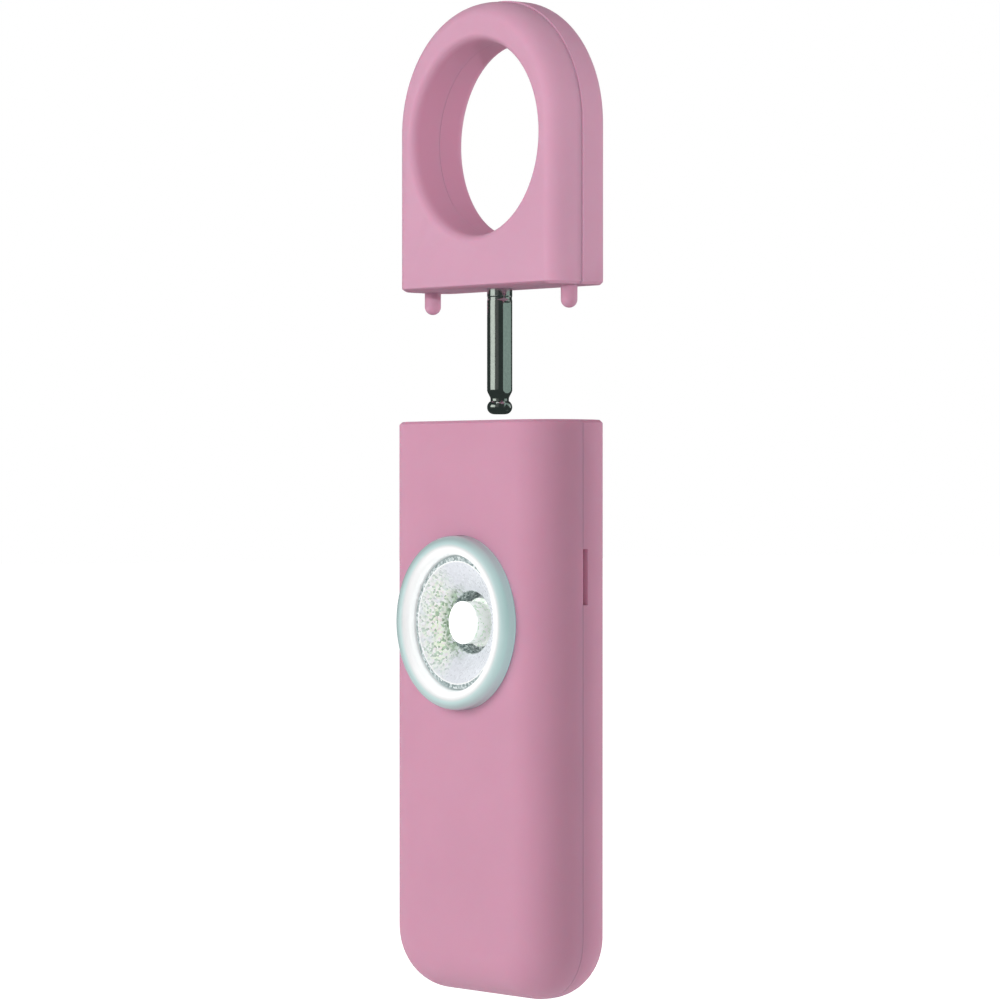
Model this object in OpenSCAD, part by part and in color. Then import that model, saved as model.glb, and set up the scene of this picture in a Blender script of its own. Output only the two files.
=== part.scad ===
// Personal alarm: a key loop with a steel pull pin, and the case that sounds when the pin is out.
// Drawn with the pin pulled out. The origin is the centre of the loop's hole.
// Front faces -Y, +X is right, +Z is up. All sizes are in millimetres.

/* [Case] */
// Width of the case and of the loop
case_width = 30.4; // [28:0.1:34]
// Depth of the case, front to back
case_depth = 12.2; // [11.8:0.1:14]
// Height of the case
case_height = 67.8; // [66:0.1:74]
// Half of the straight strip left on the case's sides
edge_flat = 0.4; // [0.2:0.1:1]
// Rounding of the two lower corners, seen from the front
corner_radius = 7.4; // [6.5:0.1:9]
// Wall of both shells
wall = 1.5; // [1.3:0.1:1.6]
// Thickness of the top deck that the pin passes through
deck = 3.4; // [3.2:0.1:4]
// Small chamfer on the two faces that meet when the pin is in
mouth_chamfer = 0.35; // [0.2:0.05:0.5]
// Gap left between loop and case when the pin is fully in
seat_gap = 0.05; // [0.02:0.01:0.1]
// Gap between the pin's tip and the case when the pin is pulled out
tip_clear = 0.8; // [0.5:0.1:4]

/* [Shell joint] */
// Thickness of the rear shell's tongue
tongue_thick = 0.65; // [0.5:0.05:0.7]
// How far the tongue reaches into the front shell
tongue_reach = 1.1; // [0.8:0.1:1.2]
// Clearance between tongue and rebate
tongue_gap = 0.1; // [0.05:0.05:0.15]
// Tongue stops this far under the deck
tongue_stop = 2.4; // [2:0.1:4]
// Length of the pry slot
pry_length = 6.5; // [5:0.1:8]
// Width of the pry slot at the surface
pry_width = 0.75; // [0.6:0.05:1]
// Depth of the pry slot
pry_depth = 0.9; // [0.6:0.05:0.9]
// Width of the pry slot's floor
pry_floor = 0.3; // [0.2:0.05:0.5]
// Centre of the pry slot under the case top
pry_drop = 18.3; // [16:0.1:24]

/* [Loop] */
// Depth of the loop, front to back
loop_depth = 8.4; // [7.8:0.1:9]
// Rounding of the loop's outer edges
loop_edge = 2.1; // [1.8:0.1:2.2]
// How much deeper than wide the front half's rounding is
loop_bulge = 1.6; // [1.2:0.1:1.7]
// How far the front half stays inside the rear half's outline
loop_step = 0.2; // [0.1:0.05:0.3]
// Wall of the loop beside its hole
loop_wall = 3.8; // [3.8:0.1:4.6]
// Height of the loop under its hole
loop_band = 6.3; // [6:0.1:8]
// Centre of the arch above the hole's centre
arch_shift = 1.2; // [0.8:0.1:2]
// Depth of the rounding of the hole's rims
rim_radius = 1.6; // [1.2:0.1:1.6]

/* [Pin] */
// Diameter of the pin
pin_d = 3.0; // [2.8:0.1:3.2]
// Reach of the pin below the loop
pin_reach = 14.9; // [14.5:0.1:15.2]
// Diameter of the pin's neck
neck_d = 2.2; // [2:0.1:2.4]
// Height of the bead under the neck
bead_height = 1.7; // [1.5:0.1:1.8]
// Length of the cone above the neck
neck_cone = 1.0; // [0.8:0.1:1.3]
// Depth of the flat on the pin's right side
pin_flat = 0.12; // [0.05:0.01:0.2]
// Start of the flat below the loop
flat_start = 1.3; // [1:0.1:2]
// How far the pin's head inside the loop is wider than the pin
head_lip = 1.1; // [0.9:0.1:1.3]
// Height of the pin's head
head_height = 1.5; // [1.2:0.1:1.6]
// Head above the loop's lower face
head_rise = 2.6; // [2.2:0.1:2.8]
// Clearance around the pin inside the loop
pin_pocket_gap = 0.05; // [0.02:0.01:0.1]

/* [Pegs] */
// Diameter of the two pegs
peg_d = 1.95; // [1.8:0.05:2.1]
// Reach of the pegs below the loop
peg_reach = 2.7; // [2.4:0.1:2.8]
// Centre of a peg from the loop's side
peg_inset = 2.5; // [2.4:0.1:3]
// Root of a peg inside the loop
peg_root = 3.0; // [2:0.1:4]
// Radial clearance of a peg in the deck
peg_gap = 0.12; // [0.08:0.01:0.15]
// Room under a peg's tip in the deck
peg_end_gap = 0.3; // [0.2:0.05:0.5]

/* [Pin guide] */
// Radial clearance of the pin in its guide
guide_gap = 0.15; // [0.12:0.01:0.18]
// Wall of the guide
guide_wall = 1.35; // [1.2:0.05:1.5]
// Top of the guide under the case top
guide_drop = 0.2; // [0.1:0.05:0.4]
// Length of the guide under the clip
guide_tail = 0.75; // [0.6:0.05:1]
// How far the guide's flange stands out
flange_lip = 1.0; // [0.8:0.1:1.2]
// Thickness of the guide's flange
flange_thick = 1.4; // [1.2:0.1:1.6]
// Clearance of the guide in the deck
seat_clear = 0.05; // [0.03:0.01:0.1]
// Wire of the retaining clip
clip_wire = 0.6; // [0.5:0.05:0.7]
// Clearance of the spread clip around the bead
clip_gap = 0.05; // [0.03:0.01:0.1]
// How far the clip's legs stand out of the guide
clip_end = 0.3; // [0.2:0.05:0.5]
// Play of the wire in its slot
clip_play = 0.1; // [0.05:0.01:0.15]

/* [Light] */
// Gap between the reflector and the pin guide's lower end
light_clear = 0.8; // [0.6:0.1:4]
// Outer radius of the ring
ring_outer = 10.2; // [9.8:0.1:10.4]
// Width of the ring's rounded rim
ring_width = 2.3; // [2:0.1:2.5]
// Height of the rim in front of the case
ring_proud = 2.0; // [1.6:0.1:2.4]
// Clearance of the ring in the front shell
ring_gap = 0.1; // [0.05:0.05:0.15]
// How far the ring's flange stands out behind the wall
ring_lip = 0.7; // [0.5:0.05:0.8]
// Thickness of that flange
ring_flange_thick = 0.8; // [0.6:0.1:1]
// Clearance of the flange in its seat
ring_seat_gap = 0.15; // [0.1:0.05:0.2]
// Clearance of the reflector inside the ring
dish_gap = 0.1; // [0.05:0.05:0.15]
// Width of the flat land round the dish
dish_land = 0.6; // [0.4:0.1:1]
// Height of the thin lip round the dish
dish_lip = 0.5; // [0.3:0.1:0.8]
// Width of that lip
dish_lip_width = 0.15; // [0.15:0.05:0.3]
// Depth of the dish at its well
dish_depth = 1.8; // [1.5:0.1:2]
// Gap between the lamp's foot and the well round it
well_gap = 0.8; // [0.5:0.1:1]
// Wall of the reflector
dish_wall = 0.8; // [0.7:0.1:1]
// How far the reflector's skirt stands out behind the ring
skirt_lip = 1.0; // [0.8:0.1:1.2]
// Radius of the lamp
lamp_radius = 2.5; // [2.3:0.1:2.6]
// How far the lamp's foot is wider than the lamp
lamp_lip = 0.4; // [0.3:0.1:0.5]
// Thickness of the lamp's foot
lamp_foot_thick = 0.7; // [0.5:0.1:0.9]
// Lamp's tip in front of the case front
lamp_proud = 0.25; // [0:0.05:0.5]
// Height of the lamp's dome
lamp_dome = 0.65; // [0.5:0.05:0.8]

/* [Board] */
// Thickness of the board
board_thick = 1.0; // [0.8:0.1:1]
// Board's side edge from the case's side
board_side = 2.4; // [2.3:0.1:3]
// Gap between the cells' cradle and the board
board_foot = 0.85; // [0.7:0.05:2]
// Gap between the board and the pin guide
board_head = 0.6; // [0.4:0.1:1]
// Screws from the board's side edge
screw_edge = 1.4; // [1.3:0.1:1.6]
// Lower screws above the board's lower edge
screw_rise = 5.0; // [4.5:0.1:6]
// Diameter of the screw's thread
screw_d = 1.6; // [1.4:0.1:1.6]
// Length of the thread
screw_length = 3.2; // [3:0.1:3.3]
// Diameter of the screw's head
screw_head_d = 3.0; // [2.8:0.1:3.1]
// Height of the screw's head
screw_head = 1.0; // [0.8:0.1:1.2]
// Width of the cross in the screw's head
screw_cross = 0.4; // [0.3:0.05:0.5]
// Length of the cross in the screw's head
screw_cross_length = 1.8; // [1.5:0.1:2]
// Radial clearance of the screw
screw_gap = 0.05; // [0.03:0.01:0.1]
// Wall of the screw bosses
boss_wall = 0.9; // [0.8:0.05:0.95]

/* [Switch] */
// Width of the switch
switch_width = 5.0; // [4.6:0.1:5.4]
// Wall of the switch in front of and behind its plunger
switch_wall = 0.25; // [0.2:0.05:0.4]
// Height of the switch
switch_height = 3.8; // [3.6:0.1:4]
// How far the pressed plunger stands out of the switch
plunger_stand = 1.1; // [0.9:0.1:1.4]
// Thickness of the switch's top
switch_lid = 0.8; // [0.6:0.1:1]
// Diameter of the plunger
plunger_d = 1.8; // [1.6:0.1:2]
// How far the plunger's collar stands out
collar_lip = 0.2; // [0.15:0.05:0.3]
// Height of the plunger's collar
collar_height = 0.6; // [0.5:0.1:0.7]
// Clearance of the plunger
plunger_gap = 0.05; // [0.03:0.01:0.1]
// Travel of the plunger
plunger_travel = 1.1; // [1:0.05:1.2]

/* [Sounder] */
// Sounder's edge from the board's side edge, at least
sound_side = 2.3; // [2.3:0.1:3]
// Gap between the sounder and the switch
sound_head = 0.5; // [0.4:0.1:1]
// Wall of the sounder's cup
sound_wall = 0.8; // [0.7:0.1:0.9]
// Height of the ledge that carries the disc
sound_ledge = 2.2; // [2:0.1:2.4]
// Width of that ledge
sound_ledge_width = 1.1; // [0.9:0.1:1.3]
// Thickness of the sounder's lid
sound_lid = 0.6; // [0.5:0.1:0.6]
// Radius of the hole in the lid
sound_hole = 2.2; // [1.8:0.1:2.6]
// Thickness of the disc's metal plate
plate_thick = 0.35; // [0.3:0.05:0.4]
// Margin of the plate round its ceramic
ceramic_margin = 4.0; // [3.5:0.1:4.5]
// Thickness of the ceramic
ceramic_thick = 0.25; // [0.2:0.05:0.3]
// Clearance inside the sounder
sound_gap = 0.1; // [0.05:0.05:0.15]
// Wire of the sounder's leads
lead_d = 0.6; // [0.5:0.05:0.7]
// Leads from the switch's sides
lead_side = 0.8; // [0.6:0.1:1]
// Bend of the leads
lead_bend = 0.8; // [0.7:0.05:0.9]
// Height of a lead's foot on the board
lead_rise = 0.6; // [0.5:0.05:0.8]
// Foot of a lead above the sounder
lead_clear = 1.1; // [1:0.05:1.3]
// Thickness of the gasket
gasket_thick = 1.35; // [1.2:0.05:1.6]
// Gasket's edge from the sounder's edge
gasket_inset = 1.1; // [0.8:0.1:1.4]
// Width of the gasket's ring
gasket_width = 1.6; // [1.2:0.1:2]
// Gap between gasket and sounder
gasket_gap = 0.05; // [0.02:0.01:0.1]
// Gap between dust mesh and gasket
mesh_gap = 0.3; // [0.2:0.1:0.6]
// Thickness of the dust mesh
mesh_thick = 0.25; // [0.2:0.05:0.3]
// Rows of sound slots above and below the middle one
slot_rows = 2; // [1:1:2]
// Width of a sound slot
slot_width = 1.2; // [1:0.1:1.4]
// Margin of the dust mesh round the slots
slot_margin = 0.9; // [0.6:0.1:1.5]
// Solid rim above the outermost slots, as a share of the rows' distance
slot_crown = 0.64; // [0.6:0.02:0.8]

/* [Cells] */
// Diameter of a cell
cell_d = 20; // [19.8:0.1:20]
// Thickness of a cell
cell_thick = 3.2; // [3.1:0.1:3.2]
// Radius of the cell's cap
cap_radius = 8.9; // [8.6:0.1:9.1]
// Height of the cell's cap
cap_height = 0.35; // [0.3:0.05:0.4]
// Chamfer of the cell's can
cell_edge = 0.3; // [0.2:0.05:0.4]
// Cells above the case's inner bottom
cell_floor = 3.0; // [2.8:0.1:4]
// Cells in front of the case's middle
cell_shift = 0.2; // [0:0.05:0.3]
// Radial clearance of the cells in their cradle
cradle_gap = 0.15; // [0.1:0.05:0.2]
// Wall of the cradle
cradle_wall = 1.0; // [0.8:0.1:1]
// Depth of the cradle from the cells' front face
cradle_depth = 4.9; // [4:0.1:5.2]
// Width of the ledge under the cells' caps
ledge_hold = 0.9; // [0.6:0.1:1.2]

/* [Contacts] */
// Thickness of the contact strips
strip = 0.3; // [0.25:0.05:0.35]
// Width of the negative strip
neg_width = 4.0; // [3.6:0.1:4.4]
// Lower end of the negative strip above the case's bottom
neg_low = 10.0; // [9:0.1:11]
// Radius of the negative strip's dimple
neg_dimple = 1.4; // [1.2:0.1:1.6]
// Play around the negative strip
neg_play = 0.2; // [0.1:0.05:0.3]
// Width of the positive strip
pos_width = 2.4; // [2.2:0.1:2.6]
// Middle of the positive strip
pos_x = 7.4; // [7.2:0.1:7.6]
// Lower end of the positive strip above the case's bottom
pos_low = 11.0; // [10.5:0.1:11.5]
// Legs of both strips above the cradle
leg_rise = 0.3; // [0.2:0.05:0.4]
// Height of the solder feet on the board
foot_height = 1.5; // [1:0.1:1.6]
// Gap between the rear shell's pad and the positive strip
pad_gap = 0.05; // [0.02:0.01:0.1]
// Radius of that pad
pad_radius = 1.1; // [0.9:0.1:1.2]

/* [Board parts] */
// Gap between the coil and the screw beside it
coil_gap = 0.4; // [0.3:0.1:0.8]
// Radius of the coil's ends
coil_radius = 1.9; // [1.7:0.1:2]
// Radius of the coil's winding
coil_winding = 1.6; // [1.4:0.1:1.7]
// Thickness of a coil end
coil_end = 0.5; // [0.4:0.1:0.6]
// Depth of the coil
coil_depth = 2.8; // [2.4:0.1:3.2]
// Gap between the chip's legs and the screw beside them
chip_gap = 0.6; // [0.3:0.1:0.8]
// Width of the chip's body
chip_width = 2.6; // [2.4:0.1:2.7]
// Height of the chip's body
chip_height = 3.6; // [3.4:0.1:3.8]
// Depth of the chip's body
chip_depth = 1.2; // [1:0.1:1.4]
// Length of a chip leg
chip_leg = 0.6; // [0.5:0.05:0.65]
// Width of a chip leg
chip_leg_width = 0.35; // [0.3:0.05:0.4]
// Distance between the chip's legs
chip_pitch = 0.9; // [0.8:0.05:0.95]
// Legs on each side of the chip
chip_legs = 4; // [3:1:4]
// Thickness of a chip leg
chip_leg_thick = 0.3; // [0.2:0.05:0.4]
// Length of a small part
small_length = 1.6; // [1.4:0.1:1.8]
// Width of a small part
small_width = 0.8; // [0.7:0.1:1]
// Depth of a small part
small_depth = 0.6; // [0.5:0.05:0.8]

/* [Hidden] */
$fn = 96;
half_w = case_width / 2;
half_d = case_depth / 2;
edge_radius = half_d - edge_flat;
loop_half_d = loop_depth / 2;
hole_radius = half_w - loop_wall;
hole_rise = hole_radius + loop_band;
arch_rise = hole_rise + arch_shift;
pin_r = pin_d / 2;
neck_r = neck_d / 2;
bead_r = bead_height / 2;
bead_flat = pin_r - bead_r;
head_r = pin_r + head_lip;
peg_r = peg_d / 2;
peg_x = half_w - peg_inset;
guide_bore = pin_r + guide_gap;
guide_r = guide_bore + guide_wall;
flange_r = guide_r + flange_lip;
deck_bore = guide_r + seat_clear;
clip_r = clip_wire / 2;
clip_y = pin_r + clip_gap + clip_r;
clip_reach = guide_r + clip_end;
screw_r = screw_d / 2;
screw_head_r = screw_head_d / 2;
boss_r = screw_r + boss_wall;
plunger_r = plunger_d / 2;
collar_r = plunger_r + collar_lip;
cell_r = cell_d / 2;
cradle_r = cell_r + cradle_gap;
cradle_outer = cradle_r + cradle_wall;
ledge_radius = cap_radius - ledge_hold;
lead_r = lead_d / 2;
lead_x = switch_width / 2 + lead_side;
// Radii of the light
ring_inner = ring_outer - ring_width;
ring_flange = ring_outer + ring_lip;
rim_r = ring_width / 2;
rim_mid = ring_outer - rim_r;
rim_wall = ring_proud - rim_r;
dish_outer = ring_inner - dish_gap;
dish_rim = dish_outer - dish_land;
skirt_radius = dish_outer + skirt_lip;
lamp_foot = lamp_radius + lamp_lip;
well_radius = lamp_foot + well_gap;
ring_back = wall + ring_flange_thick;
// Heights in the frame of the whole part
loop_bottom = -hole_rise;
pulled_gap = pin_reach + tip_clear;
case_top = loop_bottom - pulled_gap;
case_bottom = case_top - case_height;
// Heights above the case's bottom
deck_low = case_height - deck;
tongue_top = deck_low - tongue_stop;
pry_z = case_height - pry_drop;
tip_in = case_height - pin_reach + seat_gap;
clip_z = tip_in + bead_height;
guide_top = case_height - guide_drop;
guide_low = clip_z - clip_r - guide_tail;
guide_length = guide_top - guide_low;
flange_top = deck_low - seat_clear;
flange_low = flange_top - flange_thick;
light_z = guide_low - light_clear - skirt_radius;
plunger_top = tip_in - seat_gap + plunger_travel;
switch_high = tip_in - seat_gap - plunger_stand;
switch_low = switch_high - switch_height;
collar_top = switch_high - switch_lid - plunger_gap;
collar_low = collar_top - collar_height;
switch_floor = collar_low - plunger_travel - plunger_gap;
upper_row = (switch_low + switch_high) / 2;
cell_z = wall + cell_floor + cell_r;
cradle_top = cell_z + cradle_outer;
leg_low = cradle_top + leg_rise;
board_low = cradle_top + board_foot;
board_high = guide_low - board_head;
foot_top = board_low + foot_height;
screw_low = board_low + screw_rise;
screw_high = upper_row;
// Depths, Y runs to the back
inner_front = wall - half_d;
inner_rear = half_d - wall;
switch_half = collar_r + plunger_gap + switch_wall;
board_rear = -switch_half;
board_front = board_rear - board_thick;
board_sink = half_d + board_front;
cell_front_y = -cell_thick - cell_shift;
cell_mid_y = cell_front_y + cell_thick;
cell_rear_y = cell_mid_y + cell_thick;
// Places across the board
board_half = half_w - board_side;
screw_x = board_half - screw_edge;
coil_x = screw_x - screw_head_r - coil_gap - coil_radius;
chip_x = screw_x - screw_head_r - chip_gap - chip_leg - chip_width / 2;
// The sounder fills the room between the cradle and the switch
sound_radius = min(board_half - sound_side, (switch_low - sound_head - board_low) / 2);
sound_z = switch_low - sound_head - sound_radius;
sound_front = board_rear;
sound_rear = inner_rear - gasket_thick - gasket_gap;
sound_lid_y = sound_rear - sound_lid;
sound_cup = sound_lid_y - sound_front;
ledge_y = sound_front + sound_ledge;
plate_y = ledge_y + plate_thick;
ceramic_radius = sound_radius - ceramic_margin;
lead_z = sound_z + sound_radius + lead_clear;
lead_end = sound_z + sqrt(sound_radius * sound_radius - lead_x * lead_x) - sound_wall;
gasket_outer = sound_radius - gasket_inset;
gasket_inner = gasket_outer - gasket_width;
mesh_radius = gasket_inner - mesh_gap;
slot_field = mesh_radius - slot_margin;
slot_pitch = slot_field / (slot_rows + slot_crown);
cut = 1;

// Moves a shape from the case's own frame to the part's frame
module in_case() translate([0, 0, case_bottom]) children();

// Moves a shape from the loop's own frame to the part's frame
module in_loop() translate([0, 0, loop_bottom]) children();

// Turns a shape's own Z axis to the front, from depth y and height z of the case
module to_front(y, z) in_case() translate([0, y, z]) rotate([90, 0, 0]) children();

// Turns a shape's own Z axis to the back, from depth y and height z of the case
module to_back(x, y, z) in_case() translate([x, y, z]) rotate([-90, 0, 0]) children();

// Box from two opposite corners
module box(low, high) translate(low) cube(high - low);

// Rounded rectangle, the cross-section of case and loop
module section(hw, hd, r) {
    square([2 * (hw - r), 2 * hd], center = true);
    square([2 * hw, 2 * (hd - r)], center = true);
    for (x = [-1, 1], y = [-1, 1])
        translate([x * (hw - r), y * (hd - r)]) circle(r);
}

// Half of that cross-section, from an axis out to the rounded edge
module edge_profile(reach, hd, r) {
    intersection() {
        union() {
            translate([0, -hd]) square([reach - r, 2 * hd]);
            translate([0, r - hd]) square([reach, 2 * (hd - r)]);
            for (y = [-1, 1]) translate([reach - r, y * (hd - r)]) circle(r);
        }
        translate([0, -hd]) square([reach, 2 * hd]);
    }
}

// Slab whose upper outline is smaller than its lower one by its height
module chamfer_slab(hw, hd, r, c) {
    for (x = [-1, 1], y = [-1, 1])
        translate([x * (hw - r), y * (hd - r), 0]) cylinder(r1 = r, r2 = r - c, h = c);
    rotate([90, 0, 90]) linear_extrude(2 * (hw - r), center = true)
        polygon([[-hd, 0], [hd, 0], [hd - c, c], [c - hd, c]]);
    rotate([90, 0, 0]) linear_extrude(2 * (hd - r), center = true)
        polygon([[-hw, 0], [hw, 0], [hw - c, c], [c - hw, c]]);
}

// Case form, smaller all round by inset, up to height top
module pillow(inset, top) {
    hw = half_w - inset;
    hd = half_d - inset;
    r = edge_radius - inset;
    rc = corner_radius - inset;
    cx = half_w - corner_radius;
    translate([0, 0, corner_radius]) linear_extrude(top - corner_radius) section(hw, hd, r);
    for (s = [-1, 1])
        translate([s * cx, 0, corner_radius]) rotate([90, 0, 0])
            rotate([0, 0, s > 0 ? -90 : 180]) rotate_extrude(angle = 90) edge_profile(rc, hd, r);
    translate([-cx, 0, corner_radius]) rotate([90, 0, 90])
        linear_extrude(2 * cx) rotate([0, 0, -90]) edge_profile(rc, hd, r);
}

// Outside of the whole case
module case_form() {
    pillow(0, case_height - mouth_chamfer);
    translate([0, 0, case_height - mouth_chamfer])
        chamfer_slab(half_w, half_d, edge_radius, mouth_chamfer);
}

// Front or rear half of the space, side is -1 or 1
module half_space(side) {
    translate([-case_width, side < 0 ? -case_depth : 0, -cut])
        cube([2 * case_width, case_depth, case_height + 2 * cut]);
}

// Holes in the deck for guide and pegs
module deck_holes() {
    translate([0, 0, deck_low - cut]) cylinder(r = deck_bore, h = deck + 2 * cut);
    for (s = [-1, 1])
        translate([s * peg_x, 0, case_height - peg_reach - peg_end_gap])
            cylinder(r = peg_r + peg_gap, h = peg_reach + peg_end_gap + cut);
}

// Half of the hollow case
module half_case(side) {
    intersection() {
        difference() {
            case_form();
            pillow(wall, deck_low);
            deck_holes();
        }
        half_space(side);
    }
}

// Band inside the wall where the two shells overlap
module joint_band(inset, reach, top) {
    intersection() {
        pillow(inset, top);
        translate([-half_w, -reach, 0]) cube([case_width, reach, case_height]);
    }
}

// Screw places, on the axis of each
module at_screws(y) {
    for (x = [-screw_x, screw_x], z = [screw_low, screw_high])
        translate([x, y, z]) rotate([-90, 0, 0]) children();
}

// Ring round the cells, with the ledge they sit on
module cradle() {
    difference() {
        translate([0, inner_front - cut / 2, cell_z]) rotate([-90, 0, 0])
            cylinder(r = cradle_outer, h = cell_front_y + cradle_depth - inner_front + cut / 2);
        translate([0, cell_front_y, cell_z]) rotate([-90, 0, 0])
            cylinder(r = cradle_r, h = cradle_depth + cut);
        translate([0, inner_front - cut, cell_z]) rotate([-90, 0, 0])
            cylinder(r = ledge_radius, h = case_depth);
    }
}

module front_shell() color([0.83, 0.61, 0.71]) in_case() {
    difference() {
        union() {
            half_case(-1);
            intersection() {
                union() {
                    cradle();
                    at_screws(inner_front - cut / 2)
                        cylinder(r = boss_r, h = board_front - inner_front + cut / 2);
                    box([-flange_r, inner_front - cut / 2, flange_low - flange_thick],
                        [flange_r, -tongue_gap, flange_low]);
                }
                pillow(wall / 2, deck_low);
            }
        }
        difference() {
            joint_band(wall - tongue_thick - tongue_gap, tongue_reach + tongue_gap, tongue_top + tongue_gap);
            pillow(wall + tongue_gap, case_height);
        }
        translate([0, board_front, light_z]) rotate([90, 0, 0])
            cylinder(r = ring_flange + ring_seat_gap, h = board_front - inner_front);
        translate([0, -half_d - cut, light_z]) rotate([-90, 0, 0])
            cylinder(r = ring_outer + ring_gap, h = wall + 2 * cut);
        at_screws(board_rear - screw_length) cylinder(r = screw_r + screw_gap, h = screw_length);
        box([-neg_width / 2 - neg_play, inner_front, neg_low - neg_play],
            [neg_width / 2 + neg_play, inner_front + strip + neg_play, leg_low]);
        translate([0, 0, flange_low - 2 * flange_thick]) cylinder(r = deck_bore, h = 2 * flange_thick);
    }
}

module rear_shell() color([0.83, 0.61, 0.71]) in_case() {
    difference() {
        union() {
            half_case(1);
            difference() {
                joint_band(wall - tongue_thick, tongue_reach, tongue_top);
                pillow(wall, case_height);
            }
            translate([pos_x, cell_rear_y + strip + pad_gap, cell_z]) rotate([-90, 0, 0])
                cylinder(r = pad_radius, h = inner_rear + wall / 2 - cell_rear_y - strip - pad_gap);
        }
        for (k = [-slot_rows : slot_rows]) {
            reach = sqrt(slot_field * slot_field - k * k * slot_pitch * slot_pitch) - slot_width / 2;
            translate([0, inner_rear - cut, sound_z + k * slot_pitch]) rotate([-90, 0, 0]) {
                translate([-reach, -slot_width / 2, 0]) cube([2 * reach, slot_width, wall + 2 * cut]);
                for (s = [-1, 1]) translate([s * reach, 0, 0])
                    cylinder(d = slot_width, h = wall + 2 * cut, $fn = 48);
            }
        }
        translate([0, 0, pry_z - pry_length / 2]) linear_extrude(pry_length)
            polygon([[half_w + cut, -cut / 2], [half_w - pry_depth, -cut / 2], [half_w - pry_depth, pry_floor],
                     [half_w, pry_width], [half_w + cut, pry_width]]);
    }
}

// Loop with its hole: its outline smaller by inset, its roundings deeper than wide by bulge
module loop_form(inset, bulge) {
    hw = half_w - inset;
    hd = loop_half_d / bulge;
    rim = rim_radius / bulge;
    difference() {
        scale([1, bulge, 1]) difference() {
            union() {
                translate([0, 0, mouth_chamfer]) rotate([180, 0, 0])
                    chamfer_slab(hw, hd, loop_edge, mouth_chamfer);
                translate([0, 0, mouth_chamfer]) linear_extrude(arch_rise - mouth_chamfer)
                    section(hw, hd, loop_edge);
                translate([0, 0, arch_rise]) rotate([90, 0, 0])
                    rotate_extrude(angle = 180) edge_profile(hw, hd, loop_edge);
            }
            translate([0, 0, hole_rise]) rotate([90, 0, 0]) loop_rims(hd - rim, rim);
        }
        translate([0, 0, hole_rise]) rotate([90, 0, 0])
            cylinder(r = hole_radius, h = 2 * (loop_half_d - rim_radius), center = true);
    }
}

// The two flared rims of the loop's hole, outside its straight wall
module loop_rims(straight, rim) {
    for (m = [0, 1]) mirror([0, 0, m]) rotate_extrude() difference() {
        translate([0, straight]) square([hole_radius + rim, rim + cut]);
        translate([hole_radius + rim, straight]) circle(rim);
    }
}

// Room for the pin inside the loop
module pin_room() {
    translate([0, 0, -cut]) cylinder(r = pin_r + pin_pocket_gap, h = head_rise + 2 * cut);
    translate([0, 0, head_rise])
        cylinder(r = head_r + pin_pocket_gap, h = head_height + pin_pocket_gap);
}

// Front or rear half of the loop, side is -1 or 1
module loop_half(side) {
    intersection() {
        difference() {
            if (side < 0) loop_form(loop_step, loop_bulge);
            else loop_form(0, 1);
            pin_room();
        }
        half_space(side);
    }
}

// One peg with a rounded tip, made larger by gap
module peg(x, gap) {
    translate([x, 0, 0]) {
        translate([0, 0, peg_r - peg_reach])
            cylinder(r = peg_r + gap, h = peg_reach + peg_root - peg_r + gap);
        translate([0, 0, peg_r - peg_reach]) sphere(peg_r + gap);
    }
}

module loop_front() color([0.85, 0.65, 0.75]) in_loop() {
    loop_half(-1);
    for (s = [-1, 1]) peg(s * peg_x, 0);
}

module loop_rear() color([0.85, 0.65, 0.75]) in_loop() {
    difference() {
        loop_half(1);
        for (s = [-1, 1]) peg(s * peg_x, pin_pocket_gap);
    }
}

module pull_pin() color([0.55, 0.58, 0.57]) in_loop() {
    cone_top = bead_height + neck_cone;
    head_low = pin_reach + head_rise;
    difference() {
        translate([0, 0, -pin_reach]) rotate_extrude() {
            polygon([[0, 0], [bead_flat, 0], [bead_flat, bead_r], [neck_r, bead_r], [neck_r, bead_height],
                     [pin_r, cone_top], [pin_r, head_low], [head_r, head_low], [head_r, head_low + head_height],
                     [0, head_low + head_height]]);
            intersection() {
                translate([bead_flat, bead_r]) circle(bead_r);
                square([pin_r, bead_height]);
            }
        }
        box([pin_r - pin_flat, -pin_d, -pin_reach - cut], [pin_d, pin_d, -flat_start]);
    }
}

module pin_guide() color([0.93, 0.92, 0.88]) in_case() {
    difference() {
        union() {
            translate([0, 0, guide_low]) cylinder(r = guide_r, h = guide_length);
            translate([0, 0, flange_low]) cylinder(r = flange_r, h = flange_thick);
        }
        translate([0, 0, guide_low - cut]) cylinder(r = guide_bore, h = guide_length + 2 * cut);
        for (s = [-1, 1])
            translate([-2 * guide_r, s * clip_y - clip_r - clip_play, clip_z - clip_r])
                cube([4 * guide_r, clip_wire + 2 * clip_play, clip_wire + clip_play]);
    }
}

module pin_clip() color([0.78, 0.78, 0.76]) in_case() translate([0, 0, clip_z]) {
    for (s = [-1, 1])
        translate([-clip_reach, s * clip_y, 0]) rotate([0, 90, 0])
            cylinder(r = clip_r, h = 2 * clip_reach, $fn = 32);
    translate([-clip_reach, 0, 0]) rotate([0, 0, 90])
        rotate_extrude(angle = 180) translate([clip_y, 0]) circle(clip_r, $fn = 32);
}

module light_ring() color([0.93, 0.96, 0.96]) to_front(-half_d, light_z) rotate_extrude() {
    translate([ring_inner, -ring_back]) square([ring_width, ring_back + rim_wall]);
    translate([ring_inner, -ring_back]) square([ring_flange - ring_inner, ring_flange_thick]);
    intersection() {
        translate([rim_mid, rim_wall]) circle(rim_r);
        translate([ring_inner, rim_wall]) square([ring_width, rim_r]);
    }
}

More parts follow.
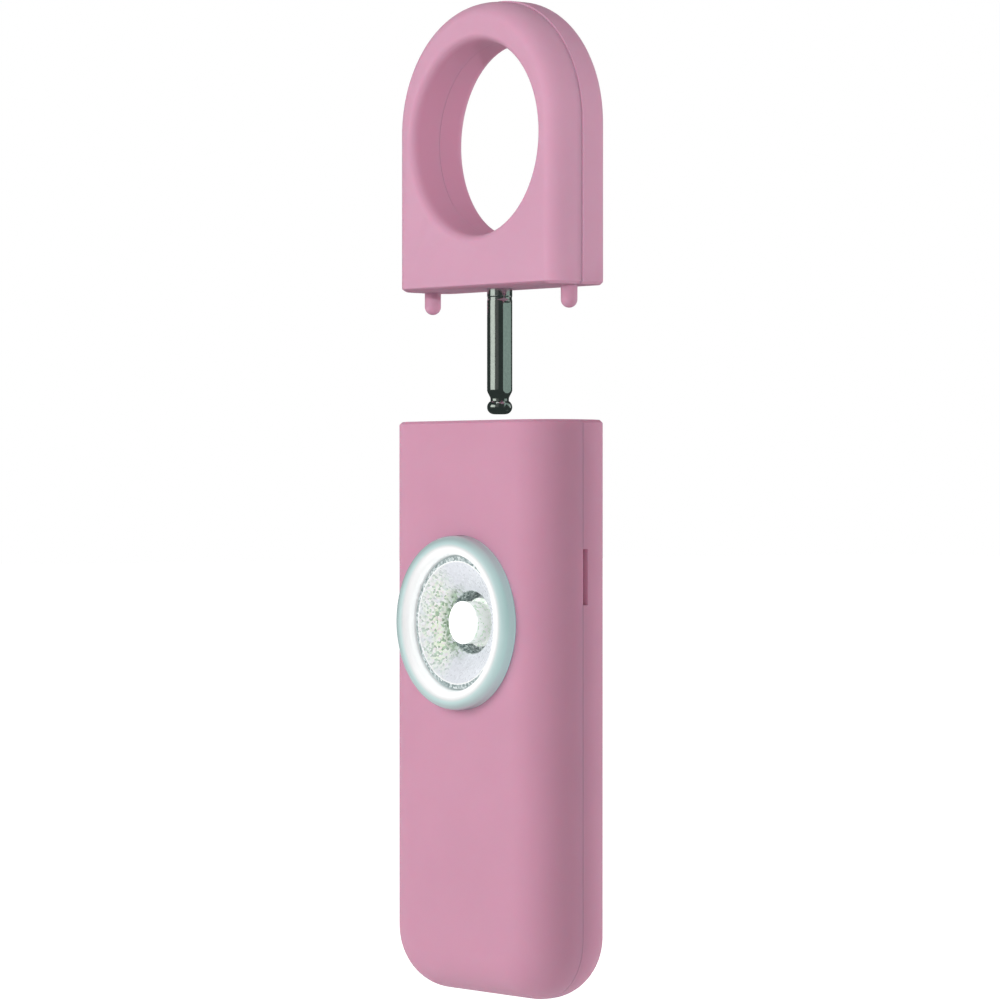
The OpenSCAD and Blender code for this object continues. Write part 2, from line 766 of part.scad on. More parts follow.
module reflector() color([0.8, 0.82, 0.82]) to_front(-half_d, light_z) rotate_extrude()
    polygon([[skirt_radius, -board_sink], [skirt_radius, -ring_back], [dish_outer, -ring_back], [dish_outer, 0],
             [dish_rim + dish_lip_width, 0], [dish_rim + dish_lip_width, dish_lip], [dish_rim, dish_lip],
             [well_radius, -dish_depth], [well_radius, -board_sink],
             [well_radius + dish_wall, -board_sink], [well_radius + dish_wall, -dish_depth - dish_wall],
             [dish_rim - dish_wall, -dish_wall], [dish_outer - dish_wall, -dish_wall],
             [dish_outer - dish_wall, -board_sink]]);

module lamp() color([1, 0.98, 0.9]) to_front(-half_d, light_z) {
    dome_r = (lamp_radius * lamp_radius + lamp_dome * lamp_dome) / (2 * lamp_dome);
    translate([0, 0, -board_sink]) cylinder(r = lamp_foot, h = lamp_foot_thick);
    translate([0, 0, -board_sink])
        cylinder(r = lamp_radius, h = board_sink + lamp_proud - lamp_dome);
    intersection() {
        translate([0, 0, lamp_proud - dome_r]) sphere(dome_r);
        translate([0, 0, lamp_proud - 2 * lamp_dome]) cylinder(r = lamp_radius, h = 2 * lamp_dome + cut);
    }
}

module main_board() color([0.1, 0.36, 0.2]) in_case() {
    difference() {
        box([-board_half, board_front, board_low], [board_half, board_rear, board_high]);
        at_screws(board_front - cut) cylinder(r = screw_r + screw_gap, h = board_thick + 2 * cut);
    }
}

module board_screws() color([0.7, 0.7, 0.7]) in_case() at_screws(board_rear) {
    translate([0, 0, -screw_length]) cylinder(r = screw_r, h = screw_length);
    difference() {
        cylinder(r = screw_head_r, h = screw_head);
        for (t = [0, 90]) rotate([0, 0, t])
            translate([-screw_cross_length / 2, -screw_cross / 2, screw_head / 2])
                cube([screw_cross_length, screw_cross, screw_head]);
    }
}

module switch_housing() color([0.12, 0.12, 0.13]) in_case() {
    difference() {
        box([-switch_width / 2, -switch_half, switch_low], [switch_width / 2, switch_half, switch_high]);
        translate([0, 0, switch_floor])
            cylinder(r = collar_r + plunger_gap, h = collar_top + plunger_gap - switch_floor);
        translate([0, 0, switch_floor]) cylinder(r = plunger_r + plunger_gap, h = case_height);
    }
}

module switch_plunger() color([0.85, 0.3, 0.2]) in_case() {
    translate([0, 0, collar_low]) cylinder(r = plunger_r, h = plunger_top - collar_low);
    translate([0, 0, collar_low]) cylinder(r = collar_r, h = collar_height);
}

module buzzer_case() color([0.1, 0.1, 0.1]) {
    bore = sound_radius - sound_wall;
    difference() {
        to_back(0, sound_front, sound_z) difference() {
            cylinder(r = sound_radius, h = sound_cup);
            translate([0, 0, sound_ledge]) cylinder(r = bore, h = sound_cup);
            translate([0, 0, sound_wall]) cylinder(r = bore - sound_ledge_width, h = sound_cup);
        }
        for (s = [-1, 1]) in_case()
            translate([s * lead_x, sound_front + lead_rise + lead_bend, sound_z])
                cylinder(r = lead_r + sound_gap, h = sound_radius + cut);
    }
}

module buzzer_lid() color([0.12, 0.12, 0.12]) {
    spigot = sound_radius - sound_wall - sound_gap;
    to_back(0, sound_lid_y, sound_z) difference() {
        union() {
            cylinder(r = sound_radius, h = sound_lid);
            translate([0, 0, plate_y - sound_lid_y]) difference() {
                cylinder(r = spigot, h = sound_lid_y - plate_y);
                translate([0, 0, -cut]) cylinder(r = spigot - sound_wall, h = sound_lid_y - plate_y + cut);
            }
        }
        translate([0, 0, -cut]) cylinder(r = sound_hole, h = sound_lid + 2 * cut);
    }
}

module piezo_disc() color([0.8, 0.62, 0.25]) to_back(0, ledge_y, sound_z) {
    cylinder(r = sound_radius - sound_wall - sound_gap, h = plate_thick);
    cylinder(r = ceramic_radius, h = plate_thick + ceramic_thick);
}

// A lead stands on the board, bends over and runs into the sounder's side
module buzzer_leads() color([0.75, 0.1, 0.1]) for (s = [-1, 1]) in_case()
    translate([s * lead_x, sound_front, lead_z]) {
        rotate([-90, 0, 0]) cylinder(r = lead_r, h = lead_rise, $fn = 32);
        translate([0, lead_rise, -lead_bend]) rotate([0, -90, 0]) rotate_extrude(angle = 90)
            translate([lead_bend, 0]) circle(lead_r, $fn = 32);
        translate([0, lead_rise + lead_bend, lead_end - lead_z])
            cylinder(r = lead_r, h = lead_z - lead_bend - lead_end, $fn = 32);
    }

module buzzer_gasket() color([0.2, 0.2, 0.2]) to_back(0, sound_rear + gasket_gap, sound_z) difference() {
    cylinder(r = gasket_outer, h = inner_rear - sound_rear - gasket_gap);
    translate([0, 0, -cut]) cylinder(r = gasket_inner, h = case_depth);
}

module sound_mesh() color([0.25, 0.25, 0.27]) to_back(0, inner_rear - mesh_thick, sound_z)
    cylinder(r = mesh_radius, h = mesh_thick);

// One cell, its cap to the front
module coin_cell(y) to_back(0, y, cell_z) rotate_extrude()
    polygon([[0, 0], [cap_radius, 0], [cap_radius, cap_height], [cell_r - cell_edge, cap_height],
             [cell_r, cap_height + cell_edge], [cell_r, cell_thick - cell_edge],
             [cell_r - cell_edge, cell_thick], [0, cell_thick]]);

module coin_cell_front() color([0.8, 0.8, 0.78]) coin_cell(cell_front_y);

module coin_cell_rear() color([0.8, 0.8, 0.78]) coin_cell(cell_mid_y);

module negative_contact() color([0.85, 0.8, 0.6]) in_case() {
    h = neg_width / 2;
    box([-h, inner_front, neg_low], [h, inner_front + strip, leg_low + strip]);
    box([-h, inner_front, leg_low], [h, board_front, leg_low + strip]);
    box([-h, board_front - strip, leg_low], [h, board_front, foot_top]);
    translate([0, inner_front, cell_z]) rotate([-90, 0, 0])
        cylinder(r = neg_dimple, h = cell_front_y - inner_front);
}

module positive_contact() color([0.85, 0.8, 0.6]) in_case() {
    x0 = pos_x - pos_width / 2;
    x1 = pos_x + pos_width / 2;
    box([x0, cell_rear_y, pos_low], [x1, cell_rear_y + strip, leg_low + strip]);
    box([x0, board_rear, leg_low], [x1, cell_rear_y + strip, leg_low + strip]);
    box([x0, board_rear, leg_low], [x1, board_rear + strip, foot_top]);
}

module boost_coil() color([0.55, 0.3, 0.15]) to_back(-coil_x, board_rear, upper_row) {
    cylinder(r = coil_radius, h = coil_end);
    cylinder(r = coil_winding, h = coil_depth);
    translate([0, 0, coil_depth - coil_end]) cylinder(r = coil_radius, h = coil_end);
}

module control_chip() color([0.1, 0.1, 0.11]) in_case() translate([chip_x, board_rear, upper_row]) {
    translate([-chip_width / 2, 0, -chip_height / 2]) cube([chip_width, chip_depth, chip_height]);
    for (s = [-1, 1], k = [0 : chip_legs - 1])
        translate([s * (chip_width + chip_leg) / 2, chip_leg_thick / 2, (k - (chip_legs - 1) / 2) * chip_pitch])
            cube([chip_leg, chip_leg_thick, chip_leg_width], center = true);
}

// Two parts beside the switch, and one under each upper screw
module small_parts() color([0.6, 0.5, 0.4]) in_case() {
    places = [[switch_width / 2 + small_width, upper_row + small_length / 2],
              [screw_x - small_width / 2, screw_high - screw_head_d - small_length]];
    for (s = [-1, 1], place = places)
        translate([s * place.x, board_rear + small_depth / 2, place.y])
            cube([small_width, small_depth, small_length], center = true);
}

loop_front();
loop_rear();
pull_pin();
front_shell();
rear_shell();
pin_guide();
pin_clip();
light_ring();
reflector();
lamp();
main_board();
board_screws();
switch_housing();
switch_plunger();
buzzer_case();
buzzer_lid();
piezo_disc();
buzzer_leads();
buzzer_gasket();
sound_mesh();
coin_cell_front();
coin_cell_rear();
negative_contact();
positive_contact();
boost_coil();
control_chip();
small_parts();
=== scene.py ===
"""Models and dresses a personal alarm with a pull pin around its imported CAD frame.

Laid out as an add-on and run as a script. The scene is in metres, in the frame of the CAD part:
front faces -Y, +X is right, +Z is up, and the origin is the centre of the loop's hole. The corners
of turned pieces and the lengths inside materials are in millimetres.
"""

import math
from functools import reduce

import bmesh
import bpy
from bpy.props import FloatProperty, FloatVectorProperty, IntProperty, PointerProperty
from bpy.types import Operator, Panel, PropertyGroup
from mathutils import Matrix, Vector


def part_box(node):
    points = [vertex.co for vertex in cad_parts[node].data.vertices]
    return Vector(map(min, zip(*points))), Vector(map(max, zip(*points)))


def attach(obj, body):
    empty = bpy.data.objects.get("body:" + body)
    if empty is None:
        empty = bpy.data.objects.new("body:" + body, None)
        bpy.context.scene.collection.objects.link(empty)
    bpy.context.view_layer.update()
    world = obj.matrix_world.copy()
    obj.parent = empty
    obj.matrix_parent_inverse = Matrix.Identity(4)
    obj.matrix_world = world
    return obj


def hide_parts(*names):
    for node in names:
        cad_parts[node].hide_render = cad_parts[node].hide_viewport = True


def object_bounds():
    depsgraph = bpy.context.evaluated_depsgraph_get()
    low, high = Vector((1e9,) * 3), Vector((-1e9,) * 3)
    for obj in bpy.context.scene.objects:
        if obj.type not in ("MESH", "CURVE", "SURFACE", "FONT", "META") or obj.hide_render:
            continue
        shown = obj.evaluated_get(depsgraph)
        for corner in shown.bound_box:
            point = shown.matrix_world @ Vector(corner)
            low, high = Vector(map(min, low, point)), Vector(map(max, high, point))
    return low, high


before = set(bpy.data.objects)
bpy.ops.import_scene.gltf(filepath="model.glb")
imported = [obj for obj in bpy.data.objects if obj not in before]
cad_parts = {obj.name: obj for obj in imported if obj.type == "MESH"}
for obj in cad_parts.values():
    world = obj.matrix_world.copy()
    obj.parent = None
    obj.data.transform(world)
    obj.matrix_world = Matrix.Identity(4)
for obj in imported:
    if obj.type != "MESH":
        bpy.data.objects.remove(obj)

bl_info = {
    "name": "Personal alarm looks",
    "version": (1, 0, 0),
    "blender": (4, 2, 0),
    "location": "3D View > Sidebar > Alarm",
    "description": "Models and dresses a personal alarm with a pull pin around its packed CAD frame",
    "category": "Object",
}

MM = 0.001
CAD_BOX = [list(corner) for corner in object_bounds()]


def middle(node):
    """Centre of a CAD node's box."""
    low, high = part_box(node)
    return (low + high) / 2


def radius_of(node):
    """Radius in millimetres of a round CAD node that is centred in the case."""
    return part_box(node)[1].x / MM


def depth_of(node):
    """Depth of a CAD node from front to back, in millimetres."""
    low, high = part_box(node)
    return (high.y - low.y) / MM


def before_case(node):
    """How far a CAD node's back and front lie before the case's front, in millimetres."""
    low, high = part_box(node)
    return (CASE_FRONT - high.y) / MM, (CASE_FRONT - low.y) / MM


# Places that several pieces share
CASE_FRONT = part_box("front_shell")[0].y
LIGHT = Vector((0, CASE_FRONT, middle("light_ring").z))
BOARD_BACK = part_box("main_board")[1].y

# Radii in millimetres that a piece and its material share
HOLE = 11.4
RING_INNER = 8.0
DISH_RIM, DISH_WELL = 7.2, 3.7
SCREW_HEAD = 1.5
AXIS = 0.02  # where the ends of a turned piece are capped

# Turns in degrees about X, Y and Z
TO_FRONT, TO_BACK = (90, 0, 0), (-90, 0, 0)
TO_RIGHT, TO_LEFT = (0, 0, 0), (0, 180, 0)

# Stretches of a metal's fine lines
LINES_UP, LINES_ACROSS, NO_LINES = (1, 1, 0.05), (0.05, 1, 1), (1, 1, 1)


# Settings


def length(label, text, default):
    """A length that the user may change."""
    return FloatProperty(name=label, description=text, default=default, unit="LENGTH", precision=6)


def colour(label, text, *rgb):
    """A linear colour that the user may change."""
    return FloatVectorProperty(
        name=label, description=text, default=rgb, size=3, min=0, max=1, subtype="COLOR"
    )


def angle(label, text, degrees):
    """An angle that the user may change."""
    return FloatProperty(
        name=label, description=text, default=math.radians(degrees), subtype="ANGLE"
    )


def amount(label, text, default):
    """A plain number that the user may change."""
    return FloatProperty(name=label, description=text, default=default, min=0)


class AlarmColours(PropertyGroup):
    """Colours of the alarm's finishes."""

    case_pink: colour("Case", "Satin plastic of the case", 0.668, 0.331, 0.459)
    loop_pink: colour("Loop", "Satin plastic of the loop", 0.584, 0.315, 0.427)
    # Painted shade: a darker, deeper pink on the wall of the loop's hole stands in for the shade and
    # pink bounce light there
    hole_painted_shade: colour("Loop's hole", "Deeper pink on the wall of the hole", 0.555, 0.261, 0.371)
    ring_crest: colour("Ring crest", "Crest of the light's ring", 0.95, 0.96, 0.96)
    # Painted shade: the teal grey of the ring's outer slope stands in for the shade that falls on it
    ring_slope_shade: colour("Ring slope", "Outer slope of the light's ring", 0.47, 0.62, 0.615)
    dish_pale: colour("Dish", "Pebbled reflector", 0.75, 0.775, 0.83)
    # Painted reflection: the green glints stand in for the lamp's light reflected on the dish
    dish_painted_reflection: colour("Dish glint", "Green glints beside the lamp", 0.44, 0.65, 0.43)
    lamp_white: colour("Lamp", "Lit lamp", 1.0, 1.0, 1.0)
    pin_steel: colour("Pin", "Polished steel of the pin", 0.66, 0.70, 0.68)
    nylon: colour("Guide", "Nylon of the pin guide", 0.84, 0.82, 0.75)
    board_green: colour("Board", "Solder mask of the board", 0.015, 0.130, 0.055)
    black: colour("Black", "Black mouldings", 0.020, 0.020, 0.022)
    plunger_red: colour("Plunger", "Switch plunger", 0.60, 0.070, 0.040)
    bright_metal: colour("Plating", "Nickel plating and tinned metal", 0.70, 0.69, 0.66)
    contact_metal: colour("Contacts", "Spring strips of the cells", 0.74, 0.66, 0.46)
    brass: colour("Brass", "Plate of the sounder's disc", 0.72, 0.48, 0.16)
    copper: colour("Copper", "Enamelled winding", 0.55, 0.20, 0.07)
    ferrite: colour("Ferrite", "Core of the coil", 0.045, 0.042, 0.042)
    ceramic: colour("Ceramic", "Small parts on the board", 0.42, 0.30, 0.19)


class AlarmDetail(PropertyGroup):
    """Sizes of the fine forms that the CAD part leaves plain."""

    seam_round: length("Seam rounding", "Rounding of the shells' and loop's sharp edges", 0.06 * MM)
    small_round: length("Small rounding", "Rounding of sharp edges on inner pieces", 0.06 * MM)
    grain_size: length("Grain", "Grain of the moulded plastic", 0.12 * MM)
    pebble_size: length("Pebbles", "Size of the reflector's pebbles", 0.55 * MM)
    pebble_height: length("Pebble height", "Height of the reflector's pebbles", 0.09 * MM)
    crimp_depth: length("Crimp depth", "Depth of the groove round the pin", 0.04 * MM)
    turned_steps: IntProperty(
        name="Turned steps", description="Steps round a turned piece", default=128, min=24
    )


class AlarmStage(PropertyGroup):
    """Camera, lamps and floor."""

    view_turn: angle("View turn", "Camera to the right of the front", 50.5)
    view_distance: length("View distance", "Camera from the pin's axis", 0.5018)
    view_height: length("View height", "Height of the level camera", -0.04276)
    view_lens: FloatProperty(
        name="Lens", description="Focal length on a 36 mm sensor", default=152.3, unit="CAMERA"
    )
    view_aside: length("View aside", "Camera moved sideways to the photograph's framing", 0.00004)
    key_power: amount("Key power", "Watts of the key lamp", 6.0)
    rim_power: amount("Rim power", "Watts of the lamp behind on the right", 4.1)
    loop_power: amount("Loop power", "Watts of the lamp on the loop's right side", 15.0)
    fill: amount("Fill", "Strength of the world's soft light", 0.31)
    glow: amount("Floor glow", "Light that the pale floor gives back", 0.15)
    floor_drop: length("Floor drop", "Floor under the case", 0.058)


class AlarmLooks(PropertyGroup):
    """All settings of the alarm."""

    colours: PointerProperty(type=AlarmColours)
    detail: PointerProperty(type=AlarmDetail)
    stage: PointerProperty(type=AlarmStage)


# Modelling helpers


def fresh():
    """Object mode with nothing selected."""
    if bpy.context.object and bpy.context.object.mode != "OBJECT":
        bpy.ops.object.mode_set(mode="OBJECT")
    bpy.ops.object.select_all(action="DESELECT")


def pick(piece):
    """Selects one piece alone and makes it the active one."""
    fresh()
    piece.select_set(True)
    bpy.context.view_layer.objects.active = piece


def edit(piece):
    """Edit mode on one piece, all of it selected."""
    pick(piece)
    bpy.ops.object.mode_set(mode="EDIT")
    bpy.ops.mesh.select_all(action="SELECT")


def done():
    """Back to object mode."""
    bpy.ops.object.mode_set(mode="OBJECT")


def named(name):
    """Names the active object and its mesh."""
    piece = bpy.context.object
    piece.name = piece.data.name = name
    return piece


def soft_outline(corners, curve):
    """Outline in metres from (radius, height) corners, rounded where they also have a setback."""
    points = []
    flat = [Vector(c[:2]) * MM for c in corners]
    for i, corner in enumerate(corners):
        here = flat[i]
        if len(corner) < 3:
            points.append(here)
            continue
        before, after = flat[i - 1] - here, flat[(i + 1) % len(flat)] - here
        start = here + before.normalized() * corner[2] * MM
        end = here + after.normalized() * corner[2] * MM
        for k in range(curve + 1):
            t = k / curve
            points.append(start * (1 - t) ** 2 + here * 2 * t * (1 - t) + end * t * t)
    return points


def arc(centre_r, centre_h, radius, start, end, steps):
    """Corners along an arc, its angles in degrees."""
    turns = [math.radians(start + (end - start) * k / steps) for k in range(steps + 1)]
    return [(centre_r + radius * math.cos(a), centre_h + radius * math.sin(a)) for a in turns]


def turned(name, corners, steps, ring=False, curve=5):
    """Piece turned on the Z axis: a circle extruded and scaled to each point of the outline.

    A ring's outline closes on itself. Any other piece is capped at both ends."""
    fresh()
    outline = soft_outline(corners, curve)
    radius, height = outline[0]
    bpy.ops.mesh.primitive_circle_add(
        vertices=steps, radius=radius, location=(0, 0, height),
        fill_type="NOTHING" if ring else "NGON",
    )
    piece = named(name)
    bpy.ops.object.transform_apply(location=True)
    edit(piece)
    for next_radius, next_height in outline[1:]:
        bpy.ops.mesh.extrude_region_move(
            TRANSFORM_OT_translate={"value": (0, 0, next_height - height)}
        )
        scale = next_radius / radius
        bpy.ops.transform.resize(value=(scale, scale, 1))
        radius, height = next_radius, next_height
    if ring:
        bpy.ops.mesh.select_all(action="DESELECT")
        bpy.ops.mesh.select_mode(type="EDGE")
        bpy.ops.mesh.select_non_manifold()
        bpy.ops.mesh.bridge_edge_loops()
    bpy.ops.mesh.select_all(action="SELECT")
    bpy.ops.mesh.remove_doubles(threshold=0.2e-6)
    bpy.ops.mesh.normals_make_consistent(inside=False)
    done()
    return piece


def stand(piece, place, turn, sharp=None):
    """Turns a piece, moves it to its place, applies both and, given an angle, shades it smooth."""
    pick(piece)
    piece.rotation_euler = [math.radians(t) for t in turn]
    piece.location = place
    bpy.ops.object.transform_apply(location=True, rotation=True, scale=True)
    if sharp:
        smooth(piece, sharp)


def modify(piece, kind, **values):
    """Adds a modifier with these values and applies it."""
    pick(piece)
    bpy.ops.object.modifier_add(type=kind)
    modifier = piece.modifiers[-1]
    for key, value in values.items():
        setattr(modifier, key, value)
    bpy.ops.object.modifier_apply(modifier=modifier.name)


def smooth(piece, degrees):
    """Smooth shading that breaks at edges sharper than this, flats kept flat."""
    pick(piece)
    bpy.ops.object.shade_smooth_by_angle(angle=math.radians(degrees))
    modify(piece, "WEIGHTED_NORMAL", keep_sharp=True)


def softened(node, name, width, spared=0.0):
    """Copy of a CAD node with its triangles joined into faces and its sharp edges rounded.

    Front edges within the spared distance of the light's axis are left as they are."""
    flat, sharp, shaded, front = math.radians(0.5), math.radians(35), 38, 0.5 * MM
    piece = bpy.data.objects.new(name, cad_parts[node].data.copy())
    piece.data.name = name
    bpy.context.scene.collection.objects.link(piece)
    piece.data.materials.clear()
    pick(piece)
    bpy.ops.mesh.customdata_custom_splitnormals_clear()
    edit(piece)
    bpy.ops.mesh.select_mode(type="EDGE")
    bpy.ops.mesh.select_all(action="SELECT")
    bpy.ops.mesh.remove_doubles(threshold=1e-6)
    bpy.ops.mesh.dissolve_limited(angle_limit=flat)
    bpy.ops.mesh.select_all(action="DESELECT")
    bpy.ops.mesh.edges_select_sharp(sharpness=sharp)
    if spared:
        mesh = bmesh.from_edit_mesh(piece.data)
        for edge in mesh.edges:
            from_light = [v.co - LIGHT for v in edge.verts]
            if all(d.xz.length < spared and d.y < front for d in from_light):
                edge.select = False
        bmesh.update_edit_mesh(piece.data)
    bpy.ops.mesh.bevel(offset=width, segments=2, affect="EDGES", miter_outer="ARC")
    done()
    smooth(piece, shaded)
    keep_curves(piece, node)
    return piece


def keep_curves(piece, node):
    """Takes the CAD surfaces' exact normals where the piece still lies on them, off sharp edges."""
    near = 2e-6
    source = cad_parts[node]
    group = piece.vertex_groups.new(name="on_cad")
    sharp = {v for edge in piece.data.edges if edge.use_edge_sharp for v in edge.vertices}
    for vertex in piece.data.vertices:
        found, nearest, _, _ = source.closest_point_on_mesh(vertex.co)
        if found and vertex.index not in sharp and (nearest - vertex.co).length < near:
            group.add([vertex.index], 1.0, "REPLACE")
    modify(
        piece, "DATA_TRANSFER", object=source, use_loop_data=True,
        data_types_loops={"CUSTOM_NORMAL"}, loop_mapping="POLYINTERP_NEAREST",
        vertex_group=group.name,
    )


def block(name, low, high, width):
    """Block between two corners, its edges rounded."""
    fresh()
    bpy.ops.mesh.primitive_cube_add(size=1, location=(low + high) / 2)
    piece = named(name)
    piece.scale = high - low
    bpy.ops.object.transform_apply(location=True, scale=True)
    edit(piece)
    bpy.ops.mesh.bevel(offset=width, segments=2, affect="EDGES")
    done()
    return piece


def bent_leg(name, width, bends):
    """Bent metal leg: a small face pulled from the origin through (out, up) millimetres."""
    thick = 0.14
    fresh()
    bpy.ops.mesh.primitive_plane_add(size=1, rotation=(0, math.radians(90), 0))
    leg = named(name)
    leg.scale = (width * MM, thick * MM, 1)
    bpy.ops.object.transform_apply(rotation=True, scale=True)
    edit(leg)
    for out, up in bends:
        bpy.ops.mesh.extrude_region_move(
            TRANSFORM_OT_translate={"value": (out * MM, up * MM, 0)}
        )
    bpy.ops.mesh.select_all(action="SELECT")
    bpy.ops.mesh.normals_make_consistent(inside=False)
    done()
    return leg


def repeated(piece, *names):
    """The piece and a copy for each further name, each with its own mesh."""
    pieces = [piece]
    for name in names:
        pick(piece)
        bpy.ops.object.duplicate(linked=False)
        pieces.append(named(name))
    return pieces


def cut_away(piece, cutter):
    """Cuts one piece out of another and drops the cutter."""
    modify(piece, "BOOLEAN", object=cutter, operation="DIFFERENCE", solver="EXACT")
    bpy.data.objects.remove(cutter)


def screw_places():
    """Centres of the four board screws on the board's back."""
    low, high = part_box("board_screws")
    inset = SCREW_HEAD * MM
    return [
        Vector((x, BOARD_BACK, z))
        for x in (low.x + inset, high.x - inset)
        for z in (low.z + inset, high.z - inset)
    ]


def dress(piece, materials, body, slot, *nodes):
    """Gives a piece its materials and body, and hides the CAD nodes it stands for. The slot is not
    used.
    """
    piece.data.materials.clear()
    for material in materials if isinstance(materials, tuple) else (materials,):
        piece.data.materials.append(material)
    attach(piece, body)
    if nodes:
        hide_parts(*nodes)


# Material helpers


class Nodes:
    """A node tree under construction."""

    def __init__(self, tree):
        self.nodes, self.links = tree.nodes, tree.links

    def put(self, socket, value):
        """Links an output to a socket, or sets a plain value on it."""
        if isinstance(value, bpy.types.NodeSocket):
            self.links.new(value, socket)
        else:
            socket.default_value = (*value, 1) if socket.type == "RGBA" else value

    def add(self, kind, output=0, settings=None, **inputs):
        """Adds a node and returns one of its outputs. Inputs are named, or i0, i1 ... by number."""
        node = self.nodes.new("ShaderNode" + kind)
        for key, value in (settings or {}).items():
            setattr(node, key, value)
        for key, value in inputs.items():
            numbered = key[0] == "i" and key[1:].isdigit()
            self.put(node.inputs[int(key[1:]) if numbered else key.replace("_", " ")], value)
        return node.outputs[output] if node.outputs else None

    def maths(self, operation, a, b):
        """One step of arithmetic."""
        return self.add("Math", settings={"operation": operation}, i0=a, i1=b)

    def times(self, *values):
        """Product of values."""
        return reduce(lambda a, b: self.maths("MULTIPLY", a, b), values)

    def most(self, *values):
        """Largest of values."""
        return reduce(lambda a, b: self.maths("MAXIMUM", a, b), values)


def blank(owner):
    """The emptied node tree of a world or a material."""
    owner.use_nodes = True
    owner.node_tree.nodes.clear()
    return Nodes(owner.node_tree)


class Finish(Nodes):
    """A material under construction, all of it linked to one Principled shader."""

    def __init__(self, name):
        self.material = bpy.data.materials.new(name)
        self.material.use_nodes = True
        super().__init__(self.material.node_tree)
        self.shader = self.nodes["Principled BSDF"]
        self.place = self.add("TexCoord", "Object")

    def noise(self, size, detail=2, place=None):
        """Noise whose features are about this size."""
        scale = 1 / (size * MM)
        return self.add("TexNoise", Vector=place or self.place, Scale=scale, Detail=detail)

    def cells(self, size, output="Distance", place=None):
        """Round cells of about this size."""
        return self.add("TexVoronoi", output, Vector=place or self.place, Scale=1 / (size * MM))

    def chance(self, size, place=None):
        """A value of its own for each cell of about this size."""
        return self.add("SeparateColor", "Red", Color=self.cells(size, "Color", place))

    def ramp(self, factor, *stops):
        """Colour ramp with (position, colour) stops."""
        node = self.nodes.new("ShaderNodeValToRGB")
        self.links.new(factor, node.inputs["Fac"])
        elements = node.color_ramp.elements
        while len(elements) < len(stops):
            elements.new(0.5)
        for element, (position, rgb) in zip(elements, stops):
            element.position = position
            element.color = (*rgb, 1)
        return node.outputs["Color"]

    def mix(self, factor, a, b):
        """Mixes two colours."""
        return self.add("Mix", 2, {"data_type": "RGBA"}, Factor=factor, i6=a, i7=b)

    def mottled(self, rgb, factor, first, second):
        """A colour that goes from one shade to another."""
        return self.mix(factor, shade(rgb, first), shade(rgb, second))

    def span(self, value, low, high, start=0.0, end=1.0):
        """Maps a value from one range to another."""
        return self.add(
            "MapRange", Value=value, From_Min=low, From_Max=high, To_Min=start, To_Max=end
        )

    def within(self, value, low, high, start=0.0, end=1.0):
        """Maps a length from a range in millimetres to another range."""
        return self.span(value, low * MM, high * MM, start, end)

    def vary(self, noise, start=0.0, end=1.0):
        """Maps the middle of a noise, where nearly all of it lies, to another range."""
        return self.span(noise, 0.3, 0.7, start, end)

    def stretched(self, scale):
        """Object coordinates stretched along an axis."""
        return self.add("Mapping", Vector=self.place, Scale=scale)

    def from_centre(self, centre):
        """Object coordinates measured from a centre."""
        return self.add("Mapping", Vector=self.place, Location=tuple(-c for c in centre))

    def flat(self, place):
        """Coordinates without their depth."""
        return self.add("VectorMath", settings={"operation": "MULTIPLY"}, i0=place, i1=(1, 0, 1))

    def radius(self, place):
        """Distance from an axis along Y."""
        return self.add("VectorMath", "Value", {"operation": "LENGTH"}, i0=self.flat(place))

    def aside(self, place):
        """Distance to the right."""
        return self.add("SeparateXYZ", "X", Vector=place)

    def ahead(self, place):
        """Distance to the front."""
        return self.times(self.add("SeparateXYZ", "Y", Vector=place), -1.0)

    def made(self, height, depth, strength, **inputs):
        """The material, with these inputs of its shader and a bump of this depth."""
        bump = self.add("Bump", Height=height, Distance=depth * MM, Strength=strength)
        for key, value in {**inputs, "Normal": bump}.items():
            self.put(self.shader.inputs[key.replace("_", " ")], value)
        return self.material


def shade(rgb, factor):
    """A colour made lighter or darker."""
    return tuple(min(1.0, c * factor) for c in rgb)


# Materials


def satin_plastic(name, rgb, grain, deep=None):
    """Moulded plastic with a fine grain, a soft sheen and a little light passing under its skin.

    A darker, deeper pink, if any, is painted on the wall of the loop's hole, which lies round the
    origin, as painted shade and bounce light."""
    f = Finish(name)
    fine = f.noise(grain / MM, 3)
    skin = f.mottled(rgb, f.vary(f.noise(9, 3)), 0.985, 1.015)
    if deep is not None:
        # Painted shade: the deeper pink on the wall of the loop's hole
        skin = f.mix(f.within(f.radius(f.place), HOLE + 0.3, HOLE + 0.03), skin, deep)
    return f.made(
        fine, 0.012, 0.5, Base_Color=skin, Roughness=f.vary(fine, 0.48, 0.58), IOR=1.46,
        Specular_IOR_Level=0.2, Subsurface_Weight=0.4, Subsurface_Radius=(1.0, 0.3, 0.45),
        Subsurface_Scale=1.5 * MM,
    )


def polished_steel(name, rgb):
    """Turned and polished steel with faint lengthwise draw lines."""
    f = Finish(name)
    lines = f.noise(0.10, 4, f.stretched((1, 1, 0.04)))
    spots = f.span(f.noise(0.35), 0.35, 0.65)
    return f.made(
        lines, 0.004, 0.5, Base_Color=f.mottled(rgb, spots, 0.9, 1.0), Metallic=1.0,
        Roughness=f.vary(lines, 0.09, 0.17),
    )


